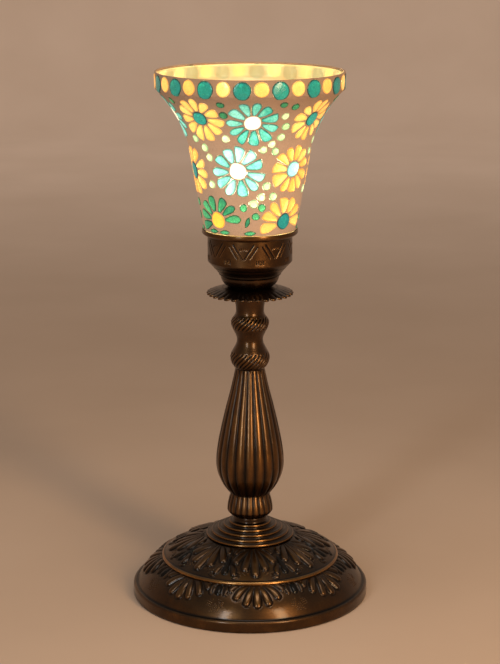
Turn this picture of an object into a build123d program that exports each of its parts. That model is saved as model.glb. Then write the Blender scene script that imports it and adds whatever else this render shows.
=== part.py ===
from build123d import *
import math
import os

# Table lamp with a turned brass stem and base, and a bell-shaped glass shade covered in glass chips.
# Millimetres, +Z up. The origin is the centre of the face the lamp stands on, and -Y is its front.
# An azimuth is an angle in degrees about Z from the front, growing towards +X.
# Every turned piece is threaded on one hollow tube that runs from the weight to the lampholder.

# ---- fits shared by several pieces -------------------------------------------------------------
SLIP = 0.2              # radial room of a piece that is threaded loosely on the tube
THREAD_ROOM = 0.02      # radial room between the tube and a nut that is screwed on it
SEAT_ROOM = 0.4         # radial room of a loose ring in its recess
SCREW_ROOM = 0.4        # radial room of the bulb's cap in the screw shell
SNUG = 0.1              # radial room of a piece that is pushed into its hole

# ---- hollow threaded tube with its two nuts and washers ------------------------------------------
TUBE_RADIUS = 5.0
TUBE_BORE_RADIUS = 3.8
TUBE_STICK_OUT = 0.5    # how far the tube stands out of the lower nut
TUBE_IN_HOLDER = 4.6    # how far the tube goes into the lampholder
NUT_HEIGHT = 4.0
NUT_ACROSS_FLATS = 14.0
WASHER_RADIUS = 11.0
WASHER_THICKNESS = 1.5

# ---- base ------------------------------------------------------------------------------------
BASE_RADIUS = 90.0
BASE_WALL = 2.0
CROWN_RADIUS = 34.3     # edge of the flat crown that the ring stack stands on
CROWN_HEIGHT = 45.2
RIDGE_RADIUS = 66.0     # the raised ridge between the two embossed tiers
RIDGE_HEIGHT = 31.0
RIDGE_WIDTH = 1.8
RIDGE_DROP = 2.8
UPPER_TIER_BOW = 0.9    # how far each tier bulges from a straight slope
LOWER_TIER_BOW = 2.6
BAND_HEIGHT = 8.9       # top of the upright band around the foot
BAND_WALL = 3.5
BAND_ROUND = 1.6
BAND_LEDGE = 3.4        # width of the groove floor behind the band's top
FLOOR_GAP = 0.6         # the band hangs this much above the floor, so the pad takes the load

PAD_THICKNESS = 1.5
PAD_ROOM = 1.5          # between the pad's edge and the band

WEIGHT_THICKNESS = 6.0
WEIGHT_ROOM = 6.5       # between the weight's edge and the band, where the cable passes
WEIGHT_HUB_RADIUS = 20.0
NUT_POCKET_RADIUS = 13.5
NUT_POCKET_DEPTH = 6.5

CABLE_RADIUS = 2.4
CABLE_ROOM = 0.1        # radial room of the cable in the grommet
CABLE_HEIGHT = 4.7      # the inlet's axis above the floor
GROMMET_WALL = 0.7
GROMMET_FLANGE_RADIUS = 3.9
GROMMET_FLANGE = 1.0
GROMMET_LENGTH = 6.0
GROMMET_INSET = 0.2     # the flange lies this far inside the band's outer face

# ---- ring stack: round-edged steps below a plain neck ------------------------------------------
RING_RADII = (33.6, 29.7, 25.0, 20.5, 16.0)
RING_PITCH = 2.4
RING_ROUND = 0.7
NECK_RADIUS = 12.8
NECK_HEIGHT = 4.0

# ---- fluted foot collar ----------------------------------------------------------------------
COLLAR_HEIGHT = 18.0
COLLAR_FOOT_RADIUS = 13.2
COLLAR_WIDE_RADIUS = 17.5
COLLAR_TOP_RADIUS = 14.8
COLLAR_WIDE_HEIGHT = 5.2
COLLAR_FLUTES = 22

# ---- reeded baluster -------------------------------------------------------------------------
BALUSTER_HEIGHT = 98.3
BALUSTER_FOOT_RADIUS = 15.2
BALUSTER_BELLY_RADIUS = 25.8
BALUSTER_BELLY_HEIGHT = 24.8
BALUSTER_TOP_RADIUS = 11.0
BALUSTER_WALL = 3.0
BALUSTER_END = 5.0      # solid metal at each end, around the tube
REEDS = 20

FLUTE_WIDTH = 1.2
FLUTE_DEPTH = 0.8

# ---- upper column with two knops ---------------------------------------------------------------
COLUMN_HEIGHT = 61.5
COLUMN_FOOT_RADIUS = 11.0
LOWER_KNOP_RADIUS = 14.9
LOWER_KNOP_HEIGHT = 8.4
WAIST_RADIUS = 9.8
WAIST_HEIGHT = 22.0
UPPER_KNOP_RADIUS = 14.4
UPPER_KNOP_HEIGHT = 35.4
COLUMN_NECK_RADIUS = 10.5
COLUMN_NECK_HEIGHT = 43.8
COLUMN_TOP_RADIUS = 16.0

# ---- scalloped drip disc -----------------------------------------------------------------------
DISC_RADIUS = 31.4      # the circle that the scallops stand on
DISC_SHEET = 1.2
DISC_FLAT_RADIUS = 18.0
DISC_DROOP = 5.0
DISC_BOW = 1.0
SCALLOPS = 32
SCALLOP_RADIUS = 2.6
SCALLOP_SINK = 1.6      # how far each scallop's centre lies inside the circle

# ---- shade cup -------------------------------------------------------------------------------
CUP_WALL = 1.2
CUP_FOOT_RADIUS = 15.0
CUP_BOWL_RADIUS = 22.0
CUP_BOWL_HEIGHT = 9.3
CUP_BEAD = 1.2
CUP_RADIUS = 31.5
CUP_SHOULDER_HEIGHT = 19.3
CUP_SHELF_HEIGHT = 40.3
CUP_LIP_FLARE = 4.1     # how far the lip stands out of the wall
CUP_LIP_WALL = 1.0
CUP_HEIGHT = 43.9

# ---- rubber ring that the glass stands on --------------------------------------------------------
SEAT_RING_THICKNESS = 1.2
SEAT_RING_LEDGE = 0.2   # shelf left clear inside the ring

# ---- glass shade, measured over its chips and from the glass's foot ------------------------------
SHADE_HEIGHT = 118.3
SHADE_LIP_ROOM = 1.0    # from the foot's outside in to the cup's lip
SHADE_WAIST_RADIUS = 44.6
SHADE_WAIST_HEIGHT = 58.3
SHADE_RIM_RADIUS = 69.9
SHADE_RIM_BAND = 12.8
SHADE_MOUTH_RADIUS = 70.3
GLASS_THICKNESS = 2.4
GROUT_THICKNESS = 0.5
CHIP_THICKNESS = 1.1
CHIP_LIFT = 0.25        # room below the outer face for a flat chip on the hollow flare
CHIP_ROOM = 0.02        # between a chip's back and the grout
GROUT_FOOT = 2.7        # the grout starts this far up the glass, just above the cup's lip

# ---- mosaic ----------------------------------------------------------------------------------
RIM_PAIRS = 16          # cream and teal rounds, by turns, around the rim
RIM_CREAM_RADIUS = 5.6
RIM_CREAM_DROP = 6.4    # from the mouth down to the middle of each round
RIM_TEAL_RADIUS = 6.6
RIM_TEAL_DROP = 7.3
PETALS = 11
CENTRE_RADIUS = 6.4
PETAL_START = 1.0       # grout between a centre and its petals
PETAL_FOOT_WIDTH = 2.4
PETAL_STRAIGHT_SIDE = 2.4
PETAL_ROUND_SIDE = 4.2
DOT_RADIUS = 3.1
LEAF_LENGTH = 9.0
LEAF_WIDTH = 3.8

# The lists below are drawn for a shade of this size, and are stretched to fit any other.
DRAWN_FOOT_RADIUS = 34.6
DRAWN_WAIST_RADIUS = 44.6
DRAWN_RIM_HEIGHT = 105.5
# One half of the mosaic, which is laid twice: azimuth, height up the glass, petals, centre, reach.
FLOWERS = (
    (-40, 89.5, "cream", "teal", 19.3),
    (2, 87.5, "turquoise", "cream", 19.6),
    (54, 88.0, "cream", "teal", 18.6),
    (98, 88.5, "turquoise", "cream", 19.3),
    (-73, 48.0, "cream", "teal", 18.8),
    (-12, 51.0, "turquoise", "cream", 19.4),
    (47, 51.0, "cream", "teal", 18.6),
    (-40, 13.3, "green", "amber", 19.0),
    (43, 12.3, "cream", "teal", 19.6),
)
# Round dots between the flowers: azimuth and height up the glass.
PALE_DOTS = (
    (26, 92), (29, 84), (27, 76), (19.5, 71), (12, 67), (23.5, 65.5), (-21, 75), (-55, 73), (-45, 67),
    (-41, 60), (78, 70), (74, 62), (17, 40), (-42, 40), (25, 32), (12, 32), (4, 27), (76, 34),
)
GREEN_DOTS = (
    (-19, 101), (22, 101), (-19, 93), (31, 99), (76, 101), (-61, 101), (-7, 24), (13, 24), (6.5, 17.5),
    (83, 12), (-83, 14), (-78, 24),
)
# Pointed leaf chips near the foot: azimuth, height up the glass, and lean from the upright.
LEAVES = ((-49, 4.7, 90), (-32, 4.7, 90), (0, 4.8, 88), (83, 4.7, 91), (99, 4.7, 89), (-3, 13, 20))

# ---- lampholder, Edison screw 27 -----------------------------------------------------------------
HOLDER_WALL = 1.6
HOLDER_NECK_RADIUS = 8.0
HOLDER_NECK_HEIGHT = 4.0
HOLDER_CAP_HEIGHT = 17.0
HOLDER_SHELL_HEIGHT = 36.0
HOLDER_MOUTH_ROOM = 1.5 # between the screw shell's bore and the mouth
CORE_WALL = 3.2
CORE_LEDGE = 1.2        # between the core's side and the cap's inside
CORE_FLANGE = 3.0
CORE_BELOW = 7.0        # porcelain that hangs inside the cap
CORE_FLOOR = 12.0       # height of the socket's floor above the cap
CORE_WALL_HEIGHT = 10.0
SCREW_SHELL_RADIUS = 13.3
SCREW_SHELL_WALL = 0.6
SCREW_SHELL_HEIGHT = 22.0
CONTACT_SHEET = 0.6
CONTACT_RISE = 0.8
CONTACT_WIDTH = 6.0
TERMINAL_RADIUS = 1.5
TERMINAL_LENGTH = 6.0
TERMINAL_HEAD_RADIUS = 2.8
TERMINAL_HEAD = 1.8
TERMINAL_INSET = 6.2    # from the core's side in to each screw's axis

# ---- opal bulb ---------------------------------------------------------------------------------
BULB_RADIUS = 22.5
BULB_LENGTH = 76.5
BULB_WALL = 0.8
BULB_CAP_HEIGHT = 22.0
BULB_CAP_WALL = 0.4
BULB_TIP_RADIUS = 4.6
BULB_TIP = 0.9
BULB_INSULATOR_HEIGHT = 2.4
BULB_REST = 0.1         # gap between the bulb's tip and the contact
STEM_RADIUS = 3.2
STEM_HEIGHT = 24.0
FILAMENT_RADIUS = 0.5
FILAMENT_SPAN = 13.0

# ---- radii worked out from the pieces that fit together --------------------------------------------
LOOSE_BORE = TUBE_RADIUS + SLIP
TIGHT_BORE = TUBE_RADIUS + THREAD_ROOM
CUP_LIP_RADIUS = CUP_RADIUS + CUP_LIP_FLARE
SHADE_FOOT_RADIUS = CUP_LIP_RADIUS - SHADE_LIP_ROOM
CORE_RADIUS = SCREW_SHELL_RADIUS + SCREW_SHELL_WALL + SNUG + CORE_WALL
HOLDER_RADIUS = CORE_RADIUS + CORE_LEDGE + HOLDER_WALL
TERMINAL_PITCH = CORE_RADIUS - TERMINAL_INSET

# ---- heights of the stack, worked out from the pieces ---------------------------------------------
RINGS_TOP = CROWN_HEIGHT + len(RING_RADII) * RING_PITCH + NECK_HEIGHT
COLLAR_TOP = RINGS_TOP + COLLAR_HEIGHT
BALUSTER_TOP = COLLAR_TOP + BALUSTER_HEIGHT
COLUMN_TOP = BALUSTER_TOP + COLUMN_HEIGHT
DISC_TOP = COLUMN_TOP + DISC_SHEET
CUP_FLOOR = DISC_TOP + CUP_WALL
HOLDER_FOOT = CUP_FLOOR + WASHER_THICKNESS + NUT_HEIGHT
HOLDER_CAP_TOP = HOLDER_FOOT + HOLDER_CAP_HEIGHT
SOCKET_FLOOR = HOLDER_CAP_TOP + CORE_FLOOR
SHELF = DISC_TOP + CUP_SHELF_HEIGHT
GLASS_FOOT = SHELF + SEAT_RING_THICKNESS
POCKET_TOP = PAD_THICKNESS + NUT_POCKET_DEPTH
SHADE_RIM_HEIGHT = SHADE_HEIGHT - SHADE_RIM_BAND

# ---- depths below the shade's outside, and the mosaic's scale -------------------------------------
GROUT_DEPTH = CHIP_THICKNESS + CHIP_LIFT
GLASS_DEPTH = GROUT_DEPTH + GROUT_THICKNESS
HEIGHT_SCALE = (SHADE_RIM_HEIGHT - GROUT_FOOT) / (DRAWN_RIM_HEIGHT - GROUT_FOOT)
CHIP_SCALE = min(HEIGHT_SCALE, SHADE_WAIST_RADIUS / DRAWN_WAIST_RADIUS,
                 SHADE_FOOT_RADIUS / DRAWN_FOOT_RADIUS)


# ---- helpers -----------------------------------------------------------------------------------
def flat(point):
    """A point of a turned outline, given as radius and height, in the XZ plane."""
    return Vector(point[0], 0, point[1])


def outline(start, *steps):
    """A closed outline. A step is a point, a pair for an arc through the first, or a ready curve."""
    edges = []
    here = flat(start)
    for step in steps:
        if isinstance(step, Edge):
            edges.append(step)
            here = step @ 1
        elif isinstance(step[0], tuple):
            edges.append(ThreePointArc(here, flat(step[0]), flat(step[1])))
            here = flat(step[1])
        else:
            edges.append(Line(here, flat(step)))
            here = flat(step)
    edges.append(Line(here, flat(start)))
    return make_face(edges)


def turned(start, *steps):
    """The outline spun about the lamp's axis."""
    return revolve(outline(start, *steps), Axis.Z)


def ring(inner, outer, low, high):
    """A plain turned ring between two radii and two heights."""
    return turned((inner, low), (outer, low), (outer, high), (inner, high))


def bowed(start, end, rise):
    """The middle point of an arc from start to end that bulges by rise to the left of its way."""
    run = math.dist(start, end)
    across = ((start[1] - end[1]) / run, (end[0] - start[0]) / run)
    return ((start[0] + end[0]) / 2 + across[0] * rise, (start[1] + end[1]) / 2 + across[1] * rise)


def sunk(start, middle, end, wall):
    """The same arc with its three points moved by the wall towards its centre."""
    (ax, ay), (bx, by), (cx, cy) = start, middle, end
    turn = 2 * (ax * (by - cy) + bx * (cy - ay) + cx * (ay - by))
    a2, b2, c2 = ax * ax + ay * ay, bx * bx + by * by, cx * cx + cy * cy
    centre = ((a2 * (by - cy) + b2 * (cy - ay) + c2 * (ay - by)) / turn,
              (a2 * (cx - bx) + b2 * (ax - cx) + c2 * (bx - ax)) / turn)
    share = 1 - wall / math.dist(start, centre)
    return [tuple(c + (p - c) * share for p, c in zip(point, centre)) for point in (start, middle, end)]


def fluted(body, side, count):
    """Cut narrow upright grooves into a turned body; side is its outer curve, from foot to top."""
    foot, top = side @ 0, side @ 1
    reach = body.bounding_box().max.X + 1
    cutter_side = side.moved(Location((-FLUTE_DEPTH, 0, 0)))
    corners = [top - Vector(FLUTE_DEPTH, 0, 0), Vector(reach, 0, top.Z), Vector(reach, 0, foot.Z),
               foot - Vector(FLUTE_DEPTH, 0, 0)]
    face = make_face([cutter_side] + [Line(a, b) for a, b in zip(corners, corners[1:])])
    blade = extrude(face, FLUTE_WIDTH / 2, dir=(0, 1, 0), both=True)
    return body - [Rot(0, 0, 360 * i / count) * blade for i in range(count)]


# ---- base --------------------------------------------------------------------------------------
def base_dome():
    crown = (CROWN_RADIUS, CROWN_HEIGHT)
    ridge = (RIDGE_RADIUS, RIDGE_HEIGHT)
    below_ridge = (RIDGE_RADIUS + RIDGE_WIDTH * 0.8, RIDGE_HEIGHT - RIDGE_DROP)
    ridge_edge = (RIDGE_RADIUS + RIDGE_WIDTH, RIDGE_HEIGHT - RIDGE_DROP / 3)
    groove = (BASE_RADIUS - BAND_LEDGE, BAND_HEIGHT)
    upper = (crown, bowed(ridge, crown, -UPPER_TIER_BOW), ridge)
    lower = (below_ridge, bowed(groove, below_ridge, -LOWER_TIER_BOW), groove)
    upper_in = sunk(*upper, BASE_WALL)
    lower_in = sunk(*lower, BASE_WALL)
    band_in = BASE_RADIUS - BAND_WALL
    corner = BAND_ROUND * (1 - math.sqrt(0.5))
    shell = turned(
        (LOOSE_BORE, CROWN_HEIGHT), crown, (upper[1], upper[2]), (ridge_edge, below_ridge),
        (lower[1], groove), (BASE_RADIUS - BAND_ROUND, BAND_HEIGHT),
        ((BASE_RADIUS - corner, BAND_HEIGHT - corner), (BASE_RADIUS, BAND_HEIGHT - BAND_ROUND)),
        (BASE_RADIUS, FLOOR_GAP), (band_in, FLOOR_GAP), (band_in, BAND_HEIGHT - BASE_WALL),
        (lower_in[2][0] - BASE_WALL, BAND_HEIGHT - BASE_WALL), lower_in[2],
        (lower_in[1], lower_in[0]), upper_in[2], (upper_in[1], upper_in[0]),
        (upper_in[0][0], CROWN_HEIGHT - BASE_WALL), (LOOSE_BORE, CROWN_HEIGHT - BASE_WALL))
    tube = CABLE_RADIUS + CABLE_ROOM + GROMMET_WALL
    hole = grommet_cylinder(tube + SNUG, BASE_RADIUS - 3 * BAND_WALL, BASE_RADIUS + 1)
    face = grommet_cylinder(GROMMET_FLANGE_RADIUS + SNUG, flange_seat(), BASE_RADIUS + 1)
    return shell - hole - face


def grommet_cylinder(radius, near, far):
    """A level cylinder about the inlet's axis, at the back, between two distances from the lamp's axis."""
    start = Plane(origin=(0, near, CABLE_HEIGHT), z_dir=(0, 1, 0))
    return start * extrude(Circle(radius), far - near)


def flange_seat():
    return BASE_RADIUS - GROMMET_INSET - GROMMET_FLANGE


def cable_grommet():
    seat = flange_seat()
    bore = CABLE_RADIUS + CABLE_ROOM
    tube = grommet_cylinder(bore + GROMMET_WALL, seat + GROMMET_FLANGE - GROMMET_LENGTH, seat)
    flange = grommet_cylinder(GROMMET_FLANGE_RADIUS, seat, seat + GROMMET_FLANGE)
    return tube + flange - grommet_cylinder(bore, seat - GROMMET_LENGTH, BASE_RADIUS + 1)


def base_weight():
    radius = BASE_RADIUS - BAND_WALL - WEIGHT_ROOM
    top = PAD_THICKNESS + WEIGHT_THICKNESS
    crown = CROWN_HEIGHT - BASE_WALL
    return turned(
        (NUT_POCKET_RADIUS, PAD_THICKNESS), (radius, PAD_THICKNESS), (radius, top), (WEIGHT_HUB_RADIUS, top),
        (WEIGHT_HUB_RADIUS, crown), (LOOSE_BORE, crown), (LOOSE_BORE, POCKET_TOP),
        (NUT_POCKET_RADIUS, POCKET_TOP))


def felt_pad():
    return extrude(Circle(BASE_RADIUS - BAND_WALL - PAD_ROOM), PAD_THICKNESS)


# ---- tube and fasteners --------------------------------------------------------------------------
def threaded_tube():
    low = POCKET_TOP - WASHER_THICKNESS - NUT_HEIGHT - TUBE_STICK_OUT
    return ring(TUBE_BORE_RADIUS, TUBE_RADIUS, low, HOLDER_FOOT + TUBE_IN_HOLDER)


def tube_washers():
    return [ring(LOOSE_BORE, WASHER_RADIUS, low, low + WASHER_THICKNESS)
            for low in (POCKET_TOP - WASHER_THICKNESS, CUP_FLOOR)]


def tube_nuts():
    face = RegularPolygon(NUT_ACROSS_FLATS / 2, 6, major_radius=False) - Circle(TIGHT_BORE)
    nut = extrude(face, NUT_HEIGHT)
    lows = (POCKET_TOP - WASHER_THICKNESS - NUT_HEIGHT, CUP_FLOOR + WASHER_THICKNESS)
    return [Pos(0, 0, low) * nut for low in lows]


# ---- stem --------------------------------------------------------------------------------------
def ring_stack():
    steps = []
    for number, radius in enumerate(RING_RADII):
        low = CROWN_HEIGHT + number * RING_PITCH
        steps.append((radius - RING_ROUND, low))
        steps.append(((radius, low + RING_PITCH / 2), (radius - RING_ROUND, low + RING_PITCH)))
    neck_foot = CROWN_HEIGHT + len(RING_RADII) * RING_PITCH
    return turned((LOOSE_BORE, CROWN_HEIGHT), *steps, (NECK_RADIUS, neck_foot), (NECK_RADIUS, RINGS_TOP),
                  (LOOSE_BORE, RINGS_TOP))


def foot_collar():
    wide = (COLLAR_WIDE_RADIUS, RINGS_TOP + COLLAR_WIDE_HEIGHT)
    foot = (COLLAR_FOOT_RADIUS, RINGS_TOP)
    top = (COLLAR_TOP_RADIUS, COLLAR_TOP)
    side = Spline(flat(foot), flat(wide), flat(top), tangents=[(1, 0, 0.6), (0, 0, 1), (-0.25, 0, 1)])
    body = turned((LOOSE_BORE, RINGS_TOP), foot, side, (LOOSE_BORE, COLLAR_TOP))
    return fluted(body, side, COLLAR_FLUTES)


def baluster():
    foot = (BALUSTER_FOOT_RADIUS, COLLAR_TOP)
    belly = (BALUSTER_BELLY_RADIUS, COLLAR_TOP + BALUSTER_BELLY_HEIGHT)
    swell = BALUSTER_BELLY_RADIUS - BALUSTER_TOP_RADIUS
    taper = BALUSTER_HEIGHT - BALUSTER_BELLY_HEIGHT
    shoulder = (BALUSTER_TOP_RADIUS + 0.76 * swell, belly[1] + 0.35 * taper)
    throat = (BALUSTER_TOP_RADIUS + 0.37 * swell, belly[1] + 0.68 * taper)
    top = (BALUSTER_TOP_RADIUS, BALUSTER_TOP)
    side = Spline(*[flat(p) for p in (foot, belly, shoulder, throat, top)],
                  tangents=[(0.95, 0, 1), (0, 0, 1), (-0.21, 0, 1), (-0.27, 0, 1), (-0.2, 0, 1)])
    body = turned((LOOSE_BORE, COLLAR_TOP), foot, side, (LOOSE_BORE, BALUSTER_TOP))
    low = (LOOSE_BORE, COLLAR_TOP + BALUSTER_END)
    swell_foot = (BALUSTER_FOOT_RADIUS - BALUSTER_WALL, low[1])
    walls = [flat((p[0] - BALUSTER_WALL, p[1])) for p in (belly, shoulder, throat)]
    inside = Spline(flat(swell_foot), *walls,
                    tangents=[(0.95, 0, 1), (0, 0, 1), (-0.21, 0, 1), (-0.27, 0, 1)])
    high = (BALUSTER_TOP_RADIUS - BALUSTER_WALL, BALUSTER_TOP - BALUSTER_END)
    hollow = turned(low, swell_foot, inside, high, (LOOSE_BORE, high[1]))
    return fluted(body - hollow, side, REEDS)


def upper_column():
    turns = [(COLUMN_FOOT_RADIUS, 0), (LOWER_KNOP_RADIUS, LOWER_KNOP_HEIGHT), (WAIST_RADIUS, WAIST_HEIGHT),
             (UPPER_KNOP_RADIUS, UPPER_KNOP_HEIGHT), (COLUMN_NECK_RADIUS, COLUMN_NECK_HEIGHT),
             (COLUMN_TOP_RADIUS, COLUMN_HEIGHT)]
    points = [flat((radius, BALUSTER_TOP + height)) for radius, height in turns]
    upright = (0, 0, 1)
    side = Spline(*points, tangents=[(1, 0, 1), upright, upright, upright, upright, (0.7, 0, 1)])
    return turned((LOOSE_BORE, BALUSTER_TOP), (COLUMN_FOOT_RADIUS, BALUSTER_TOP), side,
                  (LOOSE_BORE, COLUMN_TOP))


def drip_disc():
    edge = DISC_RADIUS + SCALLOP_RADIUS
    flat_edge = (DISC_FLAT_RADIUS, DISC_TOP)
    droop = (edge, DISC_TOP - DISC_DROOP)
    top_arc = (bowed(droop, flat_edge, -DISC_BOW), droop)
    under = [(p[0], p[1] - DISC_SHEET) for p in (droop, top_arc[0], flat_edge)]
    dish = turned((LOOSE_BORE, DISC_TOP), flat_edge, top_arc, under[0], (under[1], under[2]),
                  (LOOSE_BORE, COLUMN_TOP))
    scallops = PolarLocations(DISC_RADIUS - SCALLOP_SINK, SCALLOPS) * Circle(SCALLOP_RADIUS)
    blank = extrude(Circle(DISC_RADIUS - SCALLOP_SINK) + scallops, 3 * DISC_DROOP)
    return dish & Pos(0, 0, DISC_TOP - 2 * DISC_DROOP) * blank


def shade_cup():
    foot = (CUP_FOOT_RADIUS, DISC_TOP)
    bowl = (CUP_BOWL_RADIUS, DISC_TOP + CUP_BOWL_HEIGHT)
    bead = (CUP_BOWL_RADIUS + CUP_BEAD, bowl[1] + CUP_BEAD / 2)
    shoulder = (CUP_RADIUS, DISC_TOP + CUP_SHOULDER_HEIGHT)
    slope = math.atan2(shoulder[1] - bead[1], shoulder[0] - bead[0])
    under_lip = (CUP_RADIUS, SHELF - CUP_WALL)
    lip_foot = (CUP_LIP_RADIUS, SHELF + CUP_LIP_WALL)
    lip_top = (CUP_LIP_RADIUS, DISC_TOP + CUP_HEIGHT - CUP_LIP_WALL / 2)
    lip_in = (CUP_LIP_RADIUS - CUP_LIP_WALL, lip_top[1])
    wall_in = CUP_RADIUS - CUP_WALL
    down = CUP_WALL * math.tan(slope / 2)
    bowl_arc = bowed(bowl, foot, CUP_WALL * 1.6)
    return turned(
        (LOOSE_BORE, DISC_TOP), foot, (bowl_arc, bowl), bead, (bead[0], bead[1] + CUP_BEAD / 2),
        (shoulder[0], shoulder[1] + CUP_BEAD / 2), under_lip,
        (bowed(lip_foot, under_lip, CUP_LIP_WALL * 0.6), lip_foot), lip_top,
        ((CUP_LIP_RADIUS - CUP_LIP_WALL / 2, lip_top[1] + CUP_LIP_WALL / 2), lip_in),
        (lip_in[0], SHELF), (wall_in, SHELF), (wall_in, shoulder[1] + CUP_BEAD / 2 + down),
        (bowl[0] - CUP_WALL, bowl[1] + CUP_BEAD + CUP_WALL / 2), (bowl[0] - CUP_WALL, bowl[1]),
        ((bowl_arc[0] - CUP_WALL, bowl_arc[1] + CUP_WALL), (foot[0], CUP_FLOOR)), (LOOSE_BORE, CUP_FLOOR))


# ---- lampholder ----------------------------------------------------------------------------------
def lampholder_cap():
    neck_top = HOLDER_FOOT + HOLDER_NECK_HEIGHT
    wide = (HOLDER_RADIUS, HOLDER_FOOT + 0.65 * HOLDER_CAP_HEIGHT)
    inner_wide = (HOLDER_RADIUS - HOLDER_WALL, wide[1])
    inner_foot = (HOLDER_NECK_RADIUS - HOLDER_WALL, neck_top + HOLDER_WALL)
    inner_side = bowed(inner_foot, inner_wide, -HOLDER_WALL)
    return turned(
        (TIGHT_BORE, HOLDER_FOOT), (HOLDER_NECK_RADIUS, HOLDER_FOOT), (HOLDER_NECK_RADIUS, neck_top),
        (bowed((HOLDER_NECK_RADIUS, neck_top), wide, -HOLDER_WALL), wide), (HOLDER_RADIUS, HOLDER_CAP_TOP),
        (HOLDER_RADIUS - HOLDER_WALL, HOLDER_CAP_TOP), inner_wide, (inner_side, inner_foot),
        (TIGHT_BORE, neck_top + HOLDER_WALL))


def lampholder_shell():
    top = HOLDER_CAP_TOP + HOLDER_SHELL_HEIGHT
    inner = HOLDER_RADIUS - HOLDER_WALL
    mouth = SCREW_SHELL_RADIUS + HOLDER_MOUTH_ROOM
    rebate = core_flange_radius() + SNUG
    return turned(
        (rebate, HOLDER_CAP_TOP), (HOLDER_RADIUS, HOLDER_CAP_TOP), (HOLDER_RADIUS, top - HOLDER_WALL),
        (inner, top), (mouth, top), (mouth, top - HOLDER_WALL), (inner, top - HOLDER_WALL),
        (inner, HOLDER_CAP_TOP + CORE_FLANGE), (rebate, HOLDER_CAP_TOP + CORE_FLANGE))


def core_flange_radius():
    """The core's flange lies on the inner half of the cap's edge, under a step in the shell."""
    return HOLDER_RADIUS - HOLDER_WALL / 2


def porcelain_core():
    shell_seat = SCREW_SHELL_RADIUS + SCREW_SHELL_WALL + SNUG
    flange = core_flange_radius()
    foot = HOLDER_CAP_TOP - CORE_BELOW
    core = turned(
        (0, foot), (CORE_RADIUS, foot), (CORE_RADIUS, HOLDER_CAP_TOP), (flange, HOLDER_CAP_TOP),
        (flange, HOLDER_CAP_TOP + CORE_FLANGE), (CORE_RADIUS, HOLDER_CAP_TOP + CORE_FLANGE),
        (CORE_RADIUS, SOCKET_FLOOR + CORE_WALL_HEIGHT), (shell_seat, SOCKET_FLOOR + CORE_WALL_HEIGHT),
        (shell_seat, SOCKET_FLOOR), (0, SOCKET_FLOOR))
    hole = extrude(Circle(TERMINAL_RADIUS + THREAD_ROOM), TERMINAL_LENGTH + 1)
    return core - [Pos(side * TERMINAL_PITCH, 0, foot) * hole for side in (-1, 1)]


def terminal_screws():
    foot = HOLDER_CAP_TOP - CORE_BELOW
    screw = turned(
        (0, foot - TERMINAL_HEAD), (TERMINAL_HEAD_RADIUS, foot - TERMINAL_HEAD), (TERMINAL_HEAD_RADIUS, foot),
        (TERMINAL_RADIUS, foot), (TERMINAL_RADIUS, foot + TERMINAL_LENGTH), (0, foot + TERMINAL_LENGTH))
    return [Pos(side * TERMINAL_PITCH, 0, 0) * screw for side in (-1, 1)]


def screw_shell():
    return ring(SCREW_SHELL_RADIUS, SCREW_SHELL_RADIUS + SCREW_SHELL_WALL, SOCKET_FLOOR,
                SOCKET_FLOOR + SCREW_SHELL_HEIGHT)


def centre_contact():
    reach = SCREW_SHELL_RADIUS * 0.7
    under = [(-reach, SOCKET_FLOOR), (-reach / 2, SOCKET_FLOOR), (0, SOCKET_FLOOR + CONTACT_RISE),
             (reach / 3, SOCKET_FLOOR + CONTACT_RISE)]
    over = [(across, height + CONTACT_SHEET) for across, height in reversed(under)]
    face = outline(*under, *over)
    return extrude(face, CONTACT_WIDTH / 2, dir=(0, 1, 0), both=True)


# ---- bulb --------------------------------------------------------------------------------------
def bulb_heights():
    """The bulb's tip, the foot and top of its cap, and the middle of its globe."""
    tip = SOCKET_FLOOR + CONTACT_RISE + CONTACT_SHEET + BULB_REST
    cap_foot = tip + BULB_TIP + BULB_INSULATOR_HEIGHT
    return tip, cap_foot, cap_foot + BULB_CAP_HEIGHT, tip + BULB_LENGTH - BULB_RADIUS


def bulb_contact():
    tip = bulb_heights()[0]
    return turned((0, tip), (BULB_TIP_RADIUS - BULB_TIP, tip), (BULB_TIP_RADIUS, tip + BULB_TIP),
                  (0, tip + BULB_TIP))


def bulb_cap_insulator():
    tip, cap_foot, cap_top, middle = bulb_heights()
    cap_radius = SCREW_SHELL_RADIUS - SCREW_ROOM
    return turned((0, tip + BULB_TIP), (BULB_TIP_RADIUS + 1, tip + BULB_TIP), (cap_radius - 1, cap_foot),
                  (0, cap_foot))


def bulb_cap():
    tip, cap_foot, cap_top, middle = bulb_heights()
    radius = SCREW_SHELL_RADIUS - SCREW_ROOM
    return ring(radius - BULB_CAP_WALL, radius, cap_foot, cap_top)


def bulb_globe():
    tip, cap_foot, cap_top, middle = bulb_heights()
    neck = SCREW_SHELL_RADIUS - SCREW_ROOM
    tangent = math.radians(50)
    join = (BULB_RADIUS * math.cos(tangent), middle - BULB_RADIUS * math.sin(tangent))
    top = middle + BULB_RADIUS
    inner_radius = BULB_RADIUS - BULB_WALL
    inner_join = (inner_radius * math.cos(tangent), middle - inner_radius * math.sin(tangent))
    return turned(
        (neck - BULB_WALL, cap_top), (neck, cap_top), join, ((BULB_RADIUS, middle), (0, top)),
        (0, top - BULB_WALL), ((inner_radius, middle), inner_join))


def bulb_stem():
    cap_top = bulb_heights()[2]
    flare = SCREW_SHELL_RADIUS - SCREW_ROOM - BULB_CAP_WALL
    return turned((0, cap_top - 2), (flare, cap_top - 2), (flare - BULB_WALL, cap_top),
                  (STEM_RADIUS, cap_top + 4), (STEM_RADIUS, cap_top + STEM_HEIGHT),
                  (0, cap_top + STEM_HEIGHT))


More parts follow.
